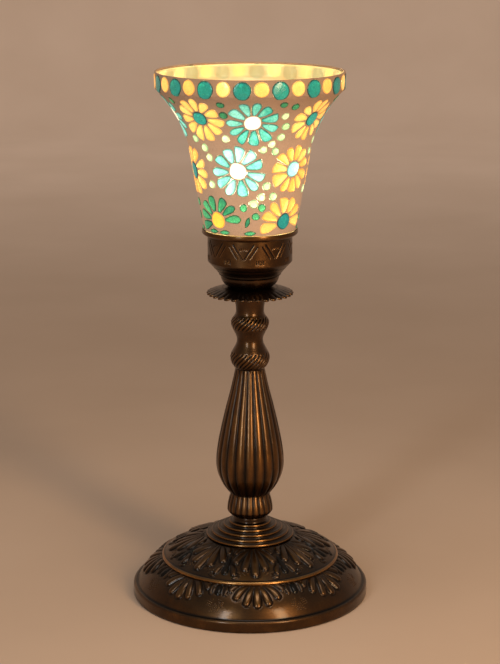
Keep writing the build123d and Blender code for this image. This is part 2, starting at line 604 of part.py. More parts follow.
def bulb_filament():
    low = bulb_heights()[2] + STEM_HEIGHT
    bar = Plane(origin=(-FILAMENT_SPAN / 2, 0, low + FILAMENT_RADIUS), z_dir=(1, 0, 0))
    return bar * extrude(Circle(FILAMENT_RADIUS), FILAMENT_SPAN)


# ---- glass shade ---------------------------------------------------------------------------------
# The outside of the shade is a cone, an arc tangent to it, and a nearly upright band at the rim.
# A depth is measured square to that outside, so the grout and the glass are the same curve, deeper.
CONE_RUN = (SHADE_WAIST_RADIUS - SHADE_FOOT_RADIUS, SHADE_WAIST_HEIGHT)
CONE_LENGTH = math.hypot(*CONE_RUN)
CONE_OUT = (CONE_RUN[1] / CONE_LENGTH, -CONE_RUN[0] / CONE_LENGTH)
TO_RIM = (SHADE_RIM_RADIUS - SHADE_WAIST_RADIUS, SHADE_RIM_HEIGHT - SHADE_WAIST_HEIGHT)
FLARE_RADIUS = (TO_RIM[0] ** 2 + TO_RIM[1] ** 2) / (2 * (TO_RIM[0] * CONE_OUT[0] + TO_RIM[1] * CONE_OUT[1]))
FLARE_CENTRE = (SHADE_WAIST_RADIUS + FLARE_RADIUS * CONE_OUT[0],
                SHADE_WAIST_HEIGHT + FLARE_RADIUS * CONE_OUT[1])
BAND_LEAN = (SHADE_MOUTH_RADIUS - SHADE_RIM_RADIUS) / (SHADE_HEIGHT - SHADE_RIM_HEIGHT)


def on_cone(height, depth):
    """Radius of the cone at a height, at a depth below the outside."""
    return SHADE_FOOT_RADIUS + CONE_RUN[0] / CONE_RUN[1] * height - depth / CONE_OUT[0]


def on_flare(angle, depth):
    """Radius and height of the flare, by the angle below level at its centre."""
    reach = FLARE_RADIUS + depth
    return (FLARE_CENTRE[0] - reach * math.cos(angle), FLARE_CENTRE[1] + reach * math.sin(angle))


def on_band(height, depth):
    return SHADE_MOUTH_RADIUS - BAND_LEAN * (SHADE_HEIGHT - height) - depth


def waist_angle():
    return math.asin(-CONE_OUT[1])


def rim_angle(depth):
    """The flare's angle where it meets the band, found by halving."""
    low, high = waist_angle(), math.pi / 2
    for _ in range(60):
        middle = (low + high) / 2
        radius, height = on_flare(middle, depth)
        if radius < on_band(height, depth):
            low = middle
        else:
            high = middle
    return low


def meridian(depth, foot):
    """The steps of the shade's outline at a depth, from a height up to the mouth."""
    waist = on_flare(waist_angle(), depth)
    rim = on_flare(rim_angle(depth), depth)
    middle = on_flare((waist_angle() + rim_angle(depth)) / 2, depth)
    return [(on_cone(foot, depth), foot), waist, middle, rim, (on_band(SHADE_HEIGHT, depth), SHADE_HEIGHT)]


def shell_between(outer, inner, foot):
    """The turned shell between two depths of the shade."""
    a = meridian(outer, foot)
    b = meridian(inner, foot)
    shell = turned(b[0], a[0], a[1], (a[2], a[3]), a[4], b[4], b[3], (b[2], b[1]))
    return Pos(0, 0, GLASS_FOOT) * shell


def glass_shade():
    return shell_between(GLASS_DEPTH, GLASS_DEPTH + GLASS_THICKNESS, 0)


def grout_layer():
    return shell_between(GROUT_DEPTH, GLASS_DEPTH, GROUT_FOOT)


def seat_ring():
    bore = CUP_RADIUS - CUP_WALL + SEAT_RING_LEDGE
    return ring(bore, CUP_LIP_RADIUS - CUP_LIP_WALL - SEAT_ROOM, SHELF, GLASS_FOOT)


# ---- mosaic --------------------------------------------------------------------------------------
def length_up(height):
    """How far along the grout's face a height on the shade lies from the foot."""
    length = height / CONE_OUT[0]
    if length < length_to_waist():
        return length
    angle = math.asin(min(1, (height - FLARE_CENTRE[1]) / (FLARE_RADIUS + GROUT_DEPTH)))
    return length_to_waist() + (angle - waist_angle()) * (FLARE_RADIUS + GROUT_DEPTH)


def length_to_waist():
    return on_flare(waist_angle(), GROUT_DEPTH)[1] / CONE_OUT[0]


def grout_face(length):
    """Radius and height of the grout's face at a length from the foot, and the way out of it."""
    beyond = length - length_to_waist()
    if beyond < 0:
        height = length * CONE_OUT[0]
        return (on_cone(height, GROUT_DEPTH), height), CONE_OUT
    angle = waist_angle() + beyond / (FLARE_RADIUS + GROUT_DEPTH)
    return on_flare(angle, GROUT_DEPTH), (math.cos(angle), -math.sin(angle))


def chip_plane(azimuth, point, out, lift):
    """The plane that a chip's back lies in, its X around the shade and its Y up it."""
    turn = math.radians(azimuth)
    radius = point[0] + out[0] * lift
    height = GLASS_FOOT + point[1] + out[1] * lift
    return Plane(
        origin=(radius * math.sin(turn), -radius * math.cos(turn), height),
        x_dir=(math.cos(turn), math.sin(turn), 0),
        z_dir=(out[0] * math.sin(turn), -out[0] * math.cos(turn), out[1]))


def chip(shape, azimuth, length, reach):
    """A flat chip on the grout, lifted so that its ends clear the hollow flare.

    reach is how far it runs up and down from its middle.
    """
    point, out = grout_face(length)
    on_hollow = min(reach, max(0, length + reach - length_to_waist()))
    lift = on_hollow ** 2 / (2 * (FLARE_RADIUS + GROUT_DEPTH))
    return chip_plane(azimuth, point, out, CHIP_ROOM + lift) * extrude(shape, CHIP_THICKNESS)


def laid(entries):
    """The entries of the half mosaic with their heights fitted to the shade, and again on the other side."""
    for turn in (0, 180):
        for azimuth, height, *rest in entries:
            yield (azimuth + turn, length_up(GROUT_FOOT + HEIGHT_SCALE * (height - GROUT_FOOT)), *rest)


def petal_shape(reach, angle):
    """A petal with one straight and one round side, about its middle, at an angle from the way up."""
    foot = CHIP_SCALE * (CENTRE_RADIUS + PETAL_START)
    half = (reach - foot) / 2
    side = CHIP_SCALE * PETAL_FOOT_WIDTH / 2
    left, right, tip = (-side, -half), (side, -half), (-side / 2, half)
    shoulder = (CHIP_SCALE * PETAL_ROUND_SIDE, half * 0.2)
    face = make_face([
        Line(left, right),
        Line(right, shoulder),
        ThreePointArc(shoulder, (shoulder[0] * 0.66, half * 0.82), tip),
        ThreePointArc(tip, (-CHIP_SCALE * PETAL_STRAIGHT_SIDE, half * 0.1), left)])
    return Rot(0, 0, -angle) * face, foot + half, half


def flower_petals(azimuth, middle, reach, phase):
    """The petals of one flower that have room above the grout's lower edge."""
    for number in range(PETALS):
        angle = phase + 360 * number / PETALS
        shape, radius, half = petal_shape(reach, angle)
        up = math.cos(math.radians(angle))
        across = math.sin(math.radians(angle))
        length = middle + radius * up
        slope_reach = half * abs(up) + CHIP_SCALE * PETAL_ROUND_SIDE * abs(across)
        if length - slope_reach > GROUT_FOOT:
            around = math.degrees(radius * across / grout_face(length)[0][0])
            yield chip(shape, azimuth + around, length, slope_reach)


def petals(colour):
    chips = []
    for number, (azimuth, length, petal, centre, reach) in enumerate(laid(FLOWERS)):
        if petal == colour:
            chips.extend(flower_petals(azimuth, length, CHIP_SCALE * reach, phase=7 * number))
    return chips


def flower_centres(colour):
    radius = CHIP_SCALE * CENTRE_RADIUS
    return [chip(Circle(radius), azimuth, length, radius)
            for azimuth, length, petal, centre, reach in laid(FLOWERS) if centre == colour]


def dots(places):
    radius = CHIP_SCALE * DOT_RADIUS
    return [chip(Circle(radius), azimuth, length, radius) for azimuth, length in laid(places)]


def leaves():
    half, side = CHIP_SCALE * LEAF_LENGTH / 2, CHIP_SCALE * LEAF_WIDTH / 2
    foot, tip = (0, -half), (0, half)
    face = make_face([ThreePointArc(foot, (side, 0), tip), ThreePointArc(tip, (-side, 0), foot)])
    return [chip(Rot(0, 0, -lean) * face, azimuth, length, half) for azimuth, length, lean in laid(LEAVES)]


def rim_rounds(radius, drop, first):
    """Round chips on the rim's band, one to each pair; first is the first one's place, in pairs."""
    height = SHADE_HEIGHT - drop
    point = (on_band(height, GROUT_DEPTH), height)
    out = (math.cos(math.atan(BAND_LEAN)), -math.sin(math.atan(BAND_LEAN)))
    pitch = 360 / RIM_PAIRS
    round_chip = extrude(Circle(radius), CHIP_THICKNESS)
    return [chip_plane(pitch * (number + first), point, out, CHIP_ROOM) * round_chip
            for number in range(RIM_PAIRS)]


# ---- the pieces, each in its own file --------------------------------------------------------------
PIECES = {
    "base_dome": base_dome,
    "base_weight": base_weight,
    "felt_pad": felt_pad,
    "cable_grommet": cable_grommet,
    "threaded_tube": threaded_tube,
    "tube_washers": tube_washers,
    "tube_nuts": tube_nuts,
    "ring_stack": ring_stack,
    "foot_collar": foot_collar,
    "baluster": baluster,
    "upper_column": upper_column,
    "drip_disc": drip_disc,
    "shade_cup": shade_cup,
    "lampholder_cap": lampholder_cap,
    "lampholder_shell": lampholder_shell,
    "porcelain_core": porcelain_core,
    "terminal_screws": terminal_screws,
    "screw_shell": screw_shell,
    "centre_contact": centre_contact,
    "bulb_contact": bulb_contact,
    "bulb_cap_insulator": bulb_cap_insulator,
    "bulb_cap": bulb_cap,
    "bulb_globe": bulb_globe,
    "bulb_stem": bulb_stem,
    "bulb_filament": bulb_filament,
    "seat_ring": seat_ring,
    "glass_shade": glass_shade,
    "grout_layer": grout_layer,
    "rim_rounds_cream": lambda: rim_rounds(RIM_CREAM_RADIUS, RIM_CREAM_DROP, 0.3),
    "rim_rounds_teal": lambda: rim_rounds(RIM_TEAL_RADIUS, RIM_TEAL_DROP, -0.2),
    "petals_cream": lambda: petals("cream"),
    "petals_turquoise": lambda: petals("turquoise"),
    "petals_green": lambda: petals("green"),
    "centres_teal": lambda: flower_centres("teal"),
    "centres_cream": lambda: flower_centres("cream"),
    "centres_amber": lambda: flower_centres("amber"),
    "dots_pale": lambda: dots(PALE_DOTS),
    "dots_green": lambda: dots(GREEN_DOTS),
    "leaves_green": leaves,
}


def main():
    os.makedirs("parts", exist_ok=True)
    for name, make in PIECES.items():
        piece = make()
        solids = piece if isinstance(piece, list) else [piece]
        whole = Compound(children=[solid for part in solids for solid in part.solids()])
        export_step(whole, "parts/" + name + ".step")


main()
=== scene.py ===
import math
import random

import bpy
import numpy as np
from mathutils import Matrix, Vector, geometry


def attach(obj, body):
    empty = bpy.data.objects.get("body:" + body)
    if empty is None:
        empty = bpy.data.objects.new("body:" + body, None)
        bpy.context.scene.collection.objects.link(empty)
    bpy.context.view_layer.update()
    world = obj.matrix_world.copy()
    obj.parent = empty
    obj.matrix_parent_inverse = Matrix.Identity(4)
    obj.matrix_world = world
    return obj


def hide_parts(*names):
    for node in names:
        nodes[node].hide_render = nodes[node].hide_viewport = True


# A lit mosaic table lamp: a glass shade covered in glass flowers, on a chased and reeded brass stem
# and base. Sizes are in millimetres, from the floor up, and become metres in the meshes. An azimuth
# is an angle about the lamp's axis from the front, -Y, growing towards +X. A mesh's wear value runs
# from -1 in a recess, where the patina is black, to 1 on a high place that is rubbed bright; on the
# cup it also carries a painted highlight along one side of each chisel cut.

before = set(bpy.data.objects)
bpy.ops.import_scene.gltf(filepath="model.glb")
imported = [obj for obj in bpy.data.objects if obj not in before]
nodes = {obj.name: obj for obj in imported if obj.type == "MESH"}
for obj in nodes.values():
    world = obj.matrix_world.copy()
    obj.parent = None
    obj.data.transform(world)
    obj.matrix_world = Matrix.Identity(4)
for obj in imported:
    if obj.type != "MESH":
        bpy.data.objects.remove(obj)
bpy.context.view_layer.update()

MM = 0.001
BORE = 5.2                     # every turned piece is threaded on a tube


# ---- node trees --------------------------------------------------------------------------------
def put(tree, kind, values=None, **settings):
    """A new node with its settings; a value is a number, a colour or another node's output."""
    node = tree.nodes.new(kind)
    for name, value in settings.items():
        setattr(node, name, value)
    for name, value in (values or {}).items():
        if isinstance(value, bpy.types.NodeSocket):
            tree.links.new(value, node.inputs[name])
        else:
            node.inputs[name].default_value = value
    return node


def calc(tree, operation, *values):
    node = put(tree, "ShaderNodeMath", dict(enumerate(values)), operation=operation)
    return node.outputs[0]


def new_tree(name, **inputs):
    """A geometry tree with named inputs, and the ends that its nodes hang between."""
    tree = bpy.data.node_groups.new(name, "GeometryNodeTree")
    tree.interface.new_socket("Geometry", in_out="OUTPUT", socket_type="NodeSocketGeometry")
    tree.interface.new_socket("Geometry", in_out="INPUT", socket_type="NodeSocketGeometry")
    for label, kind in inputs.items():
        tree.interface.new_socket(label.replace("_", " "), in_out="INPUT", socket_type="NodeSocket" + kind)
    return tree, put(tree, "NodeGroupInput"), put(tree, "NodeGroupOutput")


def run_tree(tree, mesh, **values):
    """What a tree makes of a mesh with these inputs, as a plain mesh."""
    seed = bpy.data.objects.new("seed", mesh)
    bpy.context.scene.collection.objects.link(seed)
    modifier = seed.modifiers.new("make", "NODES")
    modifier.node_group = tree
    sockets = {s.name: s.identifier for s in tree.interface.items_tree if s.in_out == "INPUT"}
    for label, value in values.items():
        modifier[sockets[label.replace("_", " ")]] = value
    made = bpy.data.meshes.new_from_object(seed.evaluated_get(bpy.context.evaluated_depsgraph_get()))
    bpy.data.objects.remove(seed)
    return made


def round_tree():
    """Repeats a sector of a turned piece about the axis and closes the seams."""
    tree, source, sink = new_tree("round_the_axis", Count="Int", Material="Material")
    turn = calc(tree, "DIVIDE", put(tree, "GeometryNodeInputIndex").outputs[0], source.outputs["Count"])
    angle = put(tree, "ShaderNodeCombineXYZ", {"Z": calc(tree, "MULTIPLY", turn, 2 * math.pi)})
    points = put(tree, "GeometryNodePoints", {"Count": source.outputs["Count"]})
    laid = put(tree, "GeometryNodeInstanceOnPoints", {
        "Points": points.outputs[0], "Instance": source.outputs["Geometry"], "Rotation": angle.outputs[0]})
    real = put(tree, "GeometryNodeRealizeInstances", {"Geometry": laid.outputs[0]})
    closed = put(tree, "GeometryNodeMergeByDistance", {"Geometry": real.outputs[0], "Distance": 0.012 * MM})
    painted = put(tree, "GeometryNodeSetMaterial", {
        "Geometry": closed.outputs[0], "Material": source.outputs["Material"]})
    tree.links.new(painted.outputs[0], sink.inputs[0])
    return tree


def chip_tree():
    """Lays a chip at every point on the shade: each point says how far round and up, and how it leans."""
    tree, source, sink = new_tree("chips_on_the_shade", Chip="Object", Meridian="Object", Material="Material")

    def named(name, kind="FLOAT"):
        return put(tree, "GeometryNodeInputNamedAttribute", {"Name": name}, data_type=kind).outputs[0]

    points = put(tree, "GeometryNodeMeshToPoints", {"Mesh": source.outputs["Geometry"]})
    shape = put(tree, "GeometryNodeObjectInfo", {"Object": source.outputs["Chip"]}, transform_space="ORIGINAL")
    lean = put(tree, "ShaderNodeCombineXYZ", {"Z": calc(tree, "MULTIPLY", named("lean"), -1.0)})
    laid = put(tree, "GeometryNodeInstanceOnPoints", {
        "Points": points.outputs[0], "Instance": shape.outputs["Geometry"], "Rotation": lean.outputs[0],
        "Scale": named("size", "FLOAT_VECTOR")})
    real = put(tree, "GeometryNodeRealizeInstances", {"Geometry": laid.outputs[0]})
    place = put(tree, "ShaderNodeSeparateXYZ", {0: put(tree, "GeometryNodeInputPosition").outputs[0]})
    line = put(tree, "GeometryNodeObjectInfo", {"Object": source.outputs["Meridian"]}, transform_space="ORIGINAL")
    up = calc(tree, "ADD", named("length"), place.outputs["Y"])
    spot = put(tree, "GeometryNodeSampleCurve", {"Curves": line.outputs["Geometry"], "Length": up}, mode="LENGTH")
    on = put(tree, "ShaderNodeSeparateXYZ", {0: spot.outputs["Position"]})
    along = put(tree, "ShaderNodeSeparateXYZ", {0: spot.outputs["Tangent"]})
    out = place.outputs["Z"]
    radius = calc(tree, "ADD", on.outputs["X"], calc(tree, "MULTIPLY", along.outputs["Z"], out))
    height = calc(tree, "SUBTRACT", on.outputs["Z"], calc(tree, "MULTIPLY", along.outputs["X"], out))
    turn = calc(tree, "ADD", named("azimuth"), calc(tree, "DIVIDE", place.outputs["X"], on.outputs["X"]))
    moved = put(tree, "ShaderNodeCombineXYZ", {
        "X": calc(tree, "MULTIPLY", radius, calc(tree, "SINE", turn)),
        "Y": calc(tree, "MULTIPLY", radius, calc(tree, "MULTIPLY", calc(tree, "COSINE", turn), -1.0)),
        "Z": height})
    bent = put(tree, "GeometryNodeSetPosition", {"Geometry": real.outputs[0], "Position": moved.outputs[0]})
    painted = put(tree, "GeometryNodeSetMaterial", {
        "Geometry": bent.outputs[0], "Material": source.outputs["Material"]})
    tree.links.new(painted.outputs[0], sink.inputs[0])
    return tree


# ---- meshes ------------------------------------------------------------------------------------
def new_mesh(name, points, faces, values=None, smooth=True):
    """A mesh from points in millimetres, with a float for each point under each name in values."""
    mesh = bpy.data.meshes.new(name)
    mesh.from_pydata((np.asarray(points, float) * MM).tolist(), [], faces)
    for label, numbers in (values or {}).items():
        mesh.attributes.new(label, "FLOAT", "POINT").data.foreach_set(
            "value", np.asarray(numbers, np.float32).ravel())
    mesh.polygons.foreach_set("use_smooth", [smooth] * len(mesh.polygons))
    mesh.update()
    return mesh


def piece(name, mesh, body, *replaced, slot=None):
    """Shows a finished mesh, riding on a body and standing for its nodes."""
    made = bpy.data.objects.new(name, mesh)
    bpy.context.scene.collection.objects.link(made)
    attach(made, body)
    if replaced:
        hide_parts(*replaced)
    return made


def sector(radius, height, turn, wear_and_sheen, count, material, name):
    """A turned piece from one sector's rows around its closed outline and columns across the sector.

    The four arrays are rows by columns: radius, height, azimuth in degrees, and wear.
    """
    rows, columns = radius.shape
    angle = np.radians(turn)
    points = np.stack([radius * np.sin(angle), -radius * np.cos(angle), height], axis=-1).reshape(-1, 3)
    faces = []
    for row in range(rows):
        above = (row + 1) % rows
        for column in range(columns - 1):
            faces.append((row * columns + column, row * columns + column + 1,
                          above * columns + column + 1, above * columns + column))
    mesh = new_mesh(name, points, faces, {"wear_and_sheen": wear_and_sheen})
    return run_tree(ROUND, mesh, Count=count, Material=material)


def hermite(knots, at):
    """A smooth radius at the heights, through knots of height, radius and slope."""
    heights = np.array([k[0] for k in knots], float)
    which = np.clip(np.searchsorted(heights, at, side="right") - 1, 0, len(knots) - 2)
    (z0, r0, s0), (z1, r1, s1) = np.array(knots)[which].T, np.array(knots)[which + 1].T
    run = z1 - z0
    t = (at - z0) / run
    return ((2 * t ** 3 - 3 * t ** 2 + 1) * r0 + (t ** 3 - 2 * t ** 2 + t) * run * s0
            + (3 * t ** 2 - 2 * t ** 3) * r1 + (t ** 3 - t ** 2) * run * s1)


def arc(start, middle, end, count):
    """Points of an arc through three points, without its start."""
    (ax, ay), (bx, by), (cx, cy) = start, middle, end
    turn = 2 * (ax * (by - cy) + bx * (cy - ay) + cx * (ay - by))
    a2, b2, c2 = ax * ax + ay * ay, bx * bx + by * by, cx * cx + cy * cy
    x = (a2 * (by - cy) + b2 * (cy - ay) + c2 * (ay - by)) / turn
    y = (a2 * (cx - bx) + b2 * (ax - cx) + c2 * (bx - ax)) / turn
    first, mid, last = (math.atan2(p[1] - y, p[0] - x) for p in (start, middle, end))
    sweep = (last - first + math.pi) % (2 * math.pi) - math.pi
    if abs((mid - first + math.pi) % (2 * math.pi) - math.pi) > abs(sweep):
        sweep -= math.copysign(2 * math.pi, sweep)
    size = math.hypot(ax - x, ay - y)
    return [(x + size * math.cos(first + sweep * k / count), y + size * math.sin(first + sweep * k / count))
            for k in range(1, count + 1)]


def line(start, end, count):
    """Points of a straight run, without its start."""
    return [(start[0] + (end[0] - start[0]) * k / count, start[1] + (end[1] - start[1]) * k / count)
            for k in range(1, count + 1)]


def bowed(start, end, rise):
    run = math.dist(start, end)
    return ((start[0] + end[0]) / 2 + (start[1] - end[1]) / run * rise,
            (start[1] + end[1]) / 2 + (end[0] - start[0]) / run * rise)


def out_of(path):
    """The way out of a closed outline at each of its points, and how far along it each lies."""
    path = np.array(path)
    ahead, behind = np.roll(path, -1, axis=0), np.roll(path, 1, axis=0)
    way = ahead - behind
    way /= np.maximum(np.linalg.norm(way, axis=1), 1e-9)[:, None]
    steps = np.linalg.norm(np.diff(path, axis=0), axis=1)
    return np.stack([way[:, 1], -way[:, 0]], axis=1), np.concatenate([[0], np.cumsum(steps)])


def smooth(low, high, value):
    t = np.clip((value - low) / (high - low), 0, 1)
    return t * t * (3 - 2 * t)


# ---- finishes ----------------------------------------------------------------------------------
GLOBE_MIDDLE = (0, 0, 0.3314)      # the middle of the bulb's globe, where the light comes from


def finish(name, **values):
    """A new material; the values are constants of its surface shader."""
    made = bpy.data.materials.new(name)
    made.use_nodes = True
    tree = made.node_tree
    tree.nodes.clear()
    surface = put(tree, "ShaderNodeBsdfPrincipled", {k.replace("_", " "): v for k, v in values.items()})
    output = put(tree, "ShaderNodeOutputMaterial")
    tree.links.new(surface.outputs[0], output.inputs["Surface"])
    return made, tree, surface


def here(tree, scale=(1, 1, 1)):
    """The place on the object, stretched along its axes."""
    coordinates = put(tree, "ShaderNodeTexCoord")
    return put(tree, "ShaderNodeMapping", {"Vector": coordinates.outputs["Object"], "Scale": scale}).outputs[0]


def noise(tree, per_mm, detail=3.0, roughness=0.5, scale=(1, 1, 1)):
    return put(tree, "ShaderNodeTexNoise", {
        "Vector": here(tree, scale), "Scale": per_mm / MM, "Detail": detail, "Roughness": roughness}).outputs[0]


def value_of(tree, name):
    return put(tree, "ShaderNodeAttribute", attribute_name=name).outputs["Fac"]


def remap(tree, value, low, high, to_low=0.0, to_high=1.0, interpolation="LINEAR"):
    return put(tree, "ShaderNodeMapRange", {
        "Value": value, "From Min": low, "From Max": high, "To Min": to_low, "To Max": to_high},
        interpolation_type=interpolation).outputs[0]


def blend(tree, share, first, second, how="MIX"):
    """Two colours mixed; each is a colour or another node's output."""
    node = put(tree, "ShaderNodeMix", data_type="RGBA", blend_type=how)
    for place, value in ((0, share), (6, first), (7, second)):
        if isinstance(value, bpy.types.NodeSocket):
            tree.links.new(value, node.inputs[place])
        else:
            node.inputs[place].default_value = value if place == 0 else (*value, 1)
    return node.outputs[2]


def ramp(tree, value, *stops):
    """A colour from a value, through stops of place and colour."""
    node = put(tree, "ShaderNodeValToRGB", {"Fac": value})
    while len(node.color_ramp.elements) < len(stops):
        node.color_ramp.elements.new(0.5)
    for element, (place, colour) in zip(node.color_ramp.elements, stops):
        element.position = place
        element.color = (*colour, 1)
    return node.outputs[0]


def bump(tree, surface, height, depth_mm, strength=1.0):
    node = put(tree, "ShaderNodeBump", {"Height": height, "Distance": depth_mm * MM, "Strength": strength})
    tree.links.new(node.outputs[0], surface.inputs["Normal"])


def painted_bulb_glow(tree, near, far):
    """The bulb's light painted into a surface: how bright it makes a place, near at the nearest glass, far at the
    shade's mouth, by distance from the globe alone.
    """
    coordinates = put(tree, "ShaderNodeTexCoord")
    away = put(tree, "ShaderNodeVectorMath", {0: coordinates.outputs["Object"], 1: GLOBE_MIDDLE},
               operation="DISTANCE").outputs["Value"]
    return remap(tree, away, 0.042, 0.092, near, far, "SMOOTHSTEP")


def times(tree, colour, value):
    """A colour made brighter or darker by a value."""
    node = put(tree, "ShaderNodeVectorMath", {0: colour, "Scale": value}, operation="SCALE")
    return node.outputs[0]


def antique_brass():
    """Cast brass under a brown patina, rubbed back to warm metal on its high places, and brighter where a highlight is
    painted beside the cup's chisel cuts.
    """
    made, tree, surface = finish("antique_brass", Metallic=1.0, Coat_Weight=0.35, Coat_Roughness=0.16)
    cloud = noise(tree, 0.05, 4.0, 0.6)
    grain = noise(tree, 0.9, 4.0, 0.65)
    wear_and_sheen_level = calc(tree, "ADD", value_of(tree, "wear_and_sheen"), calc(tree, "MULTIPLY_ADD", cloud, 1.1, -0.55))
    wear_and_sheen_level = calc(tree, "ADD", wear_and_sheen_level, calc(tree, "MULTIPLY_ADD", grain, 0.5, -0.25))
    colour = ramp(tree, remap(tree, wear_and_sheen_level, -1.0, 1.2),
                  (0.0, (0.004, 0.003, 0.002)), (0.28, (0.018, 0.009, 0.004)), (0.5, (0.062, 0.029, 0.009)),
                  (0.78, (0.18, 0.085, 0.022)), (1.0, (0.42, 0.21, 0.06)))
    tree.links.new(colour, surface.inputs["Base Color"])
    tree.links.new(remap(tree, wear_and_sheen_level, -1.0, 1.2, 0.46, 0.20), surface.inputs["Roughness"])
    bump(tree, surface, calc(tree, "ADD", grain, noise(tree, 3.5, 2.0)), 0.03, 0.55)
    return made


def chip_glass(name, dark, light, painted_glow_range, painted_edge_shade=0.35, crackle=0.5, through=0.55):
    """Rolled art glass: rippled and a little crackled, lit from behind partly through its transmission and partly by
    the bulb's glow painted into its emission, with painted shade darkening its cut edges.
    """
    made, tree, surface = finish(name, Roughness=0.16, IOR=1.5, Transmission_Weight=through,
                                 Coat_Weight=0.3, Coat_Roughness=0.05, Emission_Strength=1.0)
    swirl = noise(tree, 0.16, 4.0, 0.6)
    grain = noise(tree, 0.75, 3.0, 0.6)
    mixed = calc(tree, "ADD", calc(tree, "MULTIPLY", value_of(tree, "tint"), 0.75),
                 calc(tree, "MULTIPLY_ADD", swirl, 0.9, -0.32))
    colour = blend(tree, remap(tree, mixed, 0.0, 1.0), dark, light)
    veins = put(tree, "ShaderNodeTexVoronoi", {"Vector": here(tree), "Scale": 0.55 / MM}, feature="DISTANCE_TO_EDGE")
    line_dark = remap(tree, veins.outputs[0], 0.0, 0.09, 1 - crackle, 1.0)
    ripple = remap(tree, grain, 0.3, 0.7, 1 - 0.32 * crackle, 1 + 0.22 * crackle)
    # Painted shade: the chip is darker towards its cut edges, in both its base colour and its glow, standing in for
    # the shadow in the joint round it.
    rim = remap(tree, value_of(tree, "edge"), 0.0, 1.0, 1.0, painted_edge_shade, "SMOOTHSTEP")
    bright = calc(tree, "MULTIPLY", calc(tree, "MULTIPLY", line_dark, ripple), rim)
    # Painted light: the bulb's glow behind the chip, painted into its emission by distance from the globe, through its
    # crackle, ripple and painted edge shade.
    lit = times(tree, colour, calc(tree, "MULTIPLY", bright, painted_bulb_glow(tree, *painted_glow_range)))
    tree.links.new(times(tree, colour, remap(tree, rim, 0.0, 1.0, 0.1, 1.0)), surface.inputs["Base Color"])
    tree.links.new(lit, surface.inputs["Emission Color"])
    bump(tree, surface, calc(tree, "ADD", grain, swirl), 0.16, 0.5)
    return made


def grout_cement():
    """Fine cement between the chips, with a dim glow of the bulb's light painted into its emission."""
    made, tree, surface = finish("grout", Roughness=0.9, Emission_Strength=1.0)
    sand = noise(tree, 1.8, 4.0, 0.7)
    cloud = noise(tree, 0.08, 3.0)
    colour = blend(tree, remap(tree, sand, 0.3, 0.7), (0.21, 0.125, 0.075), (0.36, 0.235, 0.15))
    colour = blend(tree, remap(tree, cloud, 0.35, 0.65, 0.0, 0.5), colour, (0.33, 0.20, 0.12))
    tree.links.new(colour, surface.inputs["Base Color"])
    # Painted light: the bulb's glow through the shade, painted into the grout's emission.
    tree.links.new(times(tree, colour, painted_bulb_glow(tree, 0.95, 0.32)), surface.inputs["Emission Color"])
    bump(tree, surface, sand, 0.12, 0.8)
    return made


def shade_glass():
    """The clear bowl behind the mosaic: its inside catches the bulb's light, and a glow of it is painted into the
    emission of its inside faces.
    """
    made, tree, surface = finish("shade_glass", Roughness=0.3, IOR=1.46, Transmission_Weight=0.9,
                                 Emission_Strength=1.0)
    cloud = noise(tree, 0.07, 3.0)
    colour = blend(tree, remap(tree, cloud, 0.35, 0.65), (1.0, 0.62, 0.15), (1.0, 0.72, 0.24))
    inside = value_of(tree, "inside")
    # Painted light: a yellow glow on the inside faces only, fading with distance from the bulb.
    tree.links.new(times(tree, colour, calc(tree, "MULTIPLY", inside, painted_bulb_glow(tree, 0.7, 0.5))),
                   surface.inputs["Emission Color"])
    surface.inputs["Base Color"].default_value = (1.0, 0.93, 0.74, 1)
    bump(tree, surface, noise(tree, 0.4, 3.0), 0.1, 0.4)
    return made


def plain(name, low, high, per_mm, roughness, depth=0.05, metallic=0.0, stretch=(1, 1, 1), **values):
    """A finish that wanders between two colours, with a fine bump of the same grain."""
    made, tree, surface = finish(name, Metallic=metallic, **values)
    grain = noise(tree, per_mm, 4.0, 0.6, stretch)
    tree.links.new(blend(tree, remap(tree, grain, 0.3, 0.7), low, high), surface.inputs["Base Color"])
    tree.links.new(remap(tree, grain, 0.3, 0.7, *roughness), surface.inputs["Roughness"])
    bump(tree, surface, grain, depth, 0.6)
    return made


def opal_globe():
    made, tree, surface = finish("opal_glass", Roughness=0.12, IOR=1.5, Emission_Strength=13.0)
    lit = blend(tree, remap(tree, noise(tree, 0.08), 0.3, 0.7), (1.0, 0.93, 0.74), (1.0, 0.97, 0.84))
    tree.links.new(lit, surface.inputs["Emission Color"])
    surface.inputs["Base Color"].default_value = (0.95, 0.93, 0.88, 1)
    return made


BRASS = antique_brass()
# Each glass: its dark and light tones, the near and far strength of the bulb's glow painted into its emission, the
# painted shade at its cut edges, and how crackled it is.
GLASS = {
    "cream": chip_glass("cream_glass", (0.92, 0.41, 0.08), (1.0, 0.66, 0.20), (0.95, 0.84), 0.6, 0.25),
    "pale": chip_glass("pale_glass", (1.0, 0.80, 0.45), (1.0, 0.93, 0.72), (1.3, 0.85), 0.7, 0.2),
    "teal": chip_glass("teal_glass", (0.0, 0.13, 0.13), (0.025, 0.40, 0.30), (1.5, 0.62), 0.12, 0.6),
    "turquoise": chip_glass("turquoise_glass", (0.02, 0.42, 0.30), (0.42, 0.90, 0.74), (1.4, 0.75), 0.2, 0.5),
    "green": chip_glass("green_glass", (0.01, 0.17, 0.09), (0.10, 0.52, 0.20), (1.2, 0.5), 0.15, 0.6),
    "pale_green": chip_glass("pale_green_glass", (0.22, 0.52, 0.20), (0.88, 0.93, 0.52), (1.25, 0.7), 0.4, 0.4),
    "amber": chip_glass("amber_glass", (1.0, 0.42, 0.04), (1.0, 0.58, 0.09), (0.95, 0.85), 0.6, 0.25),
}

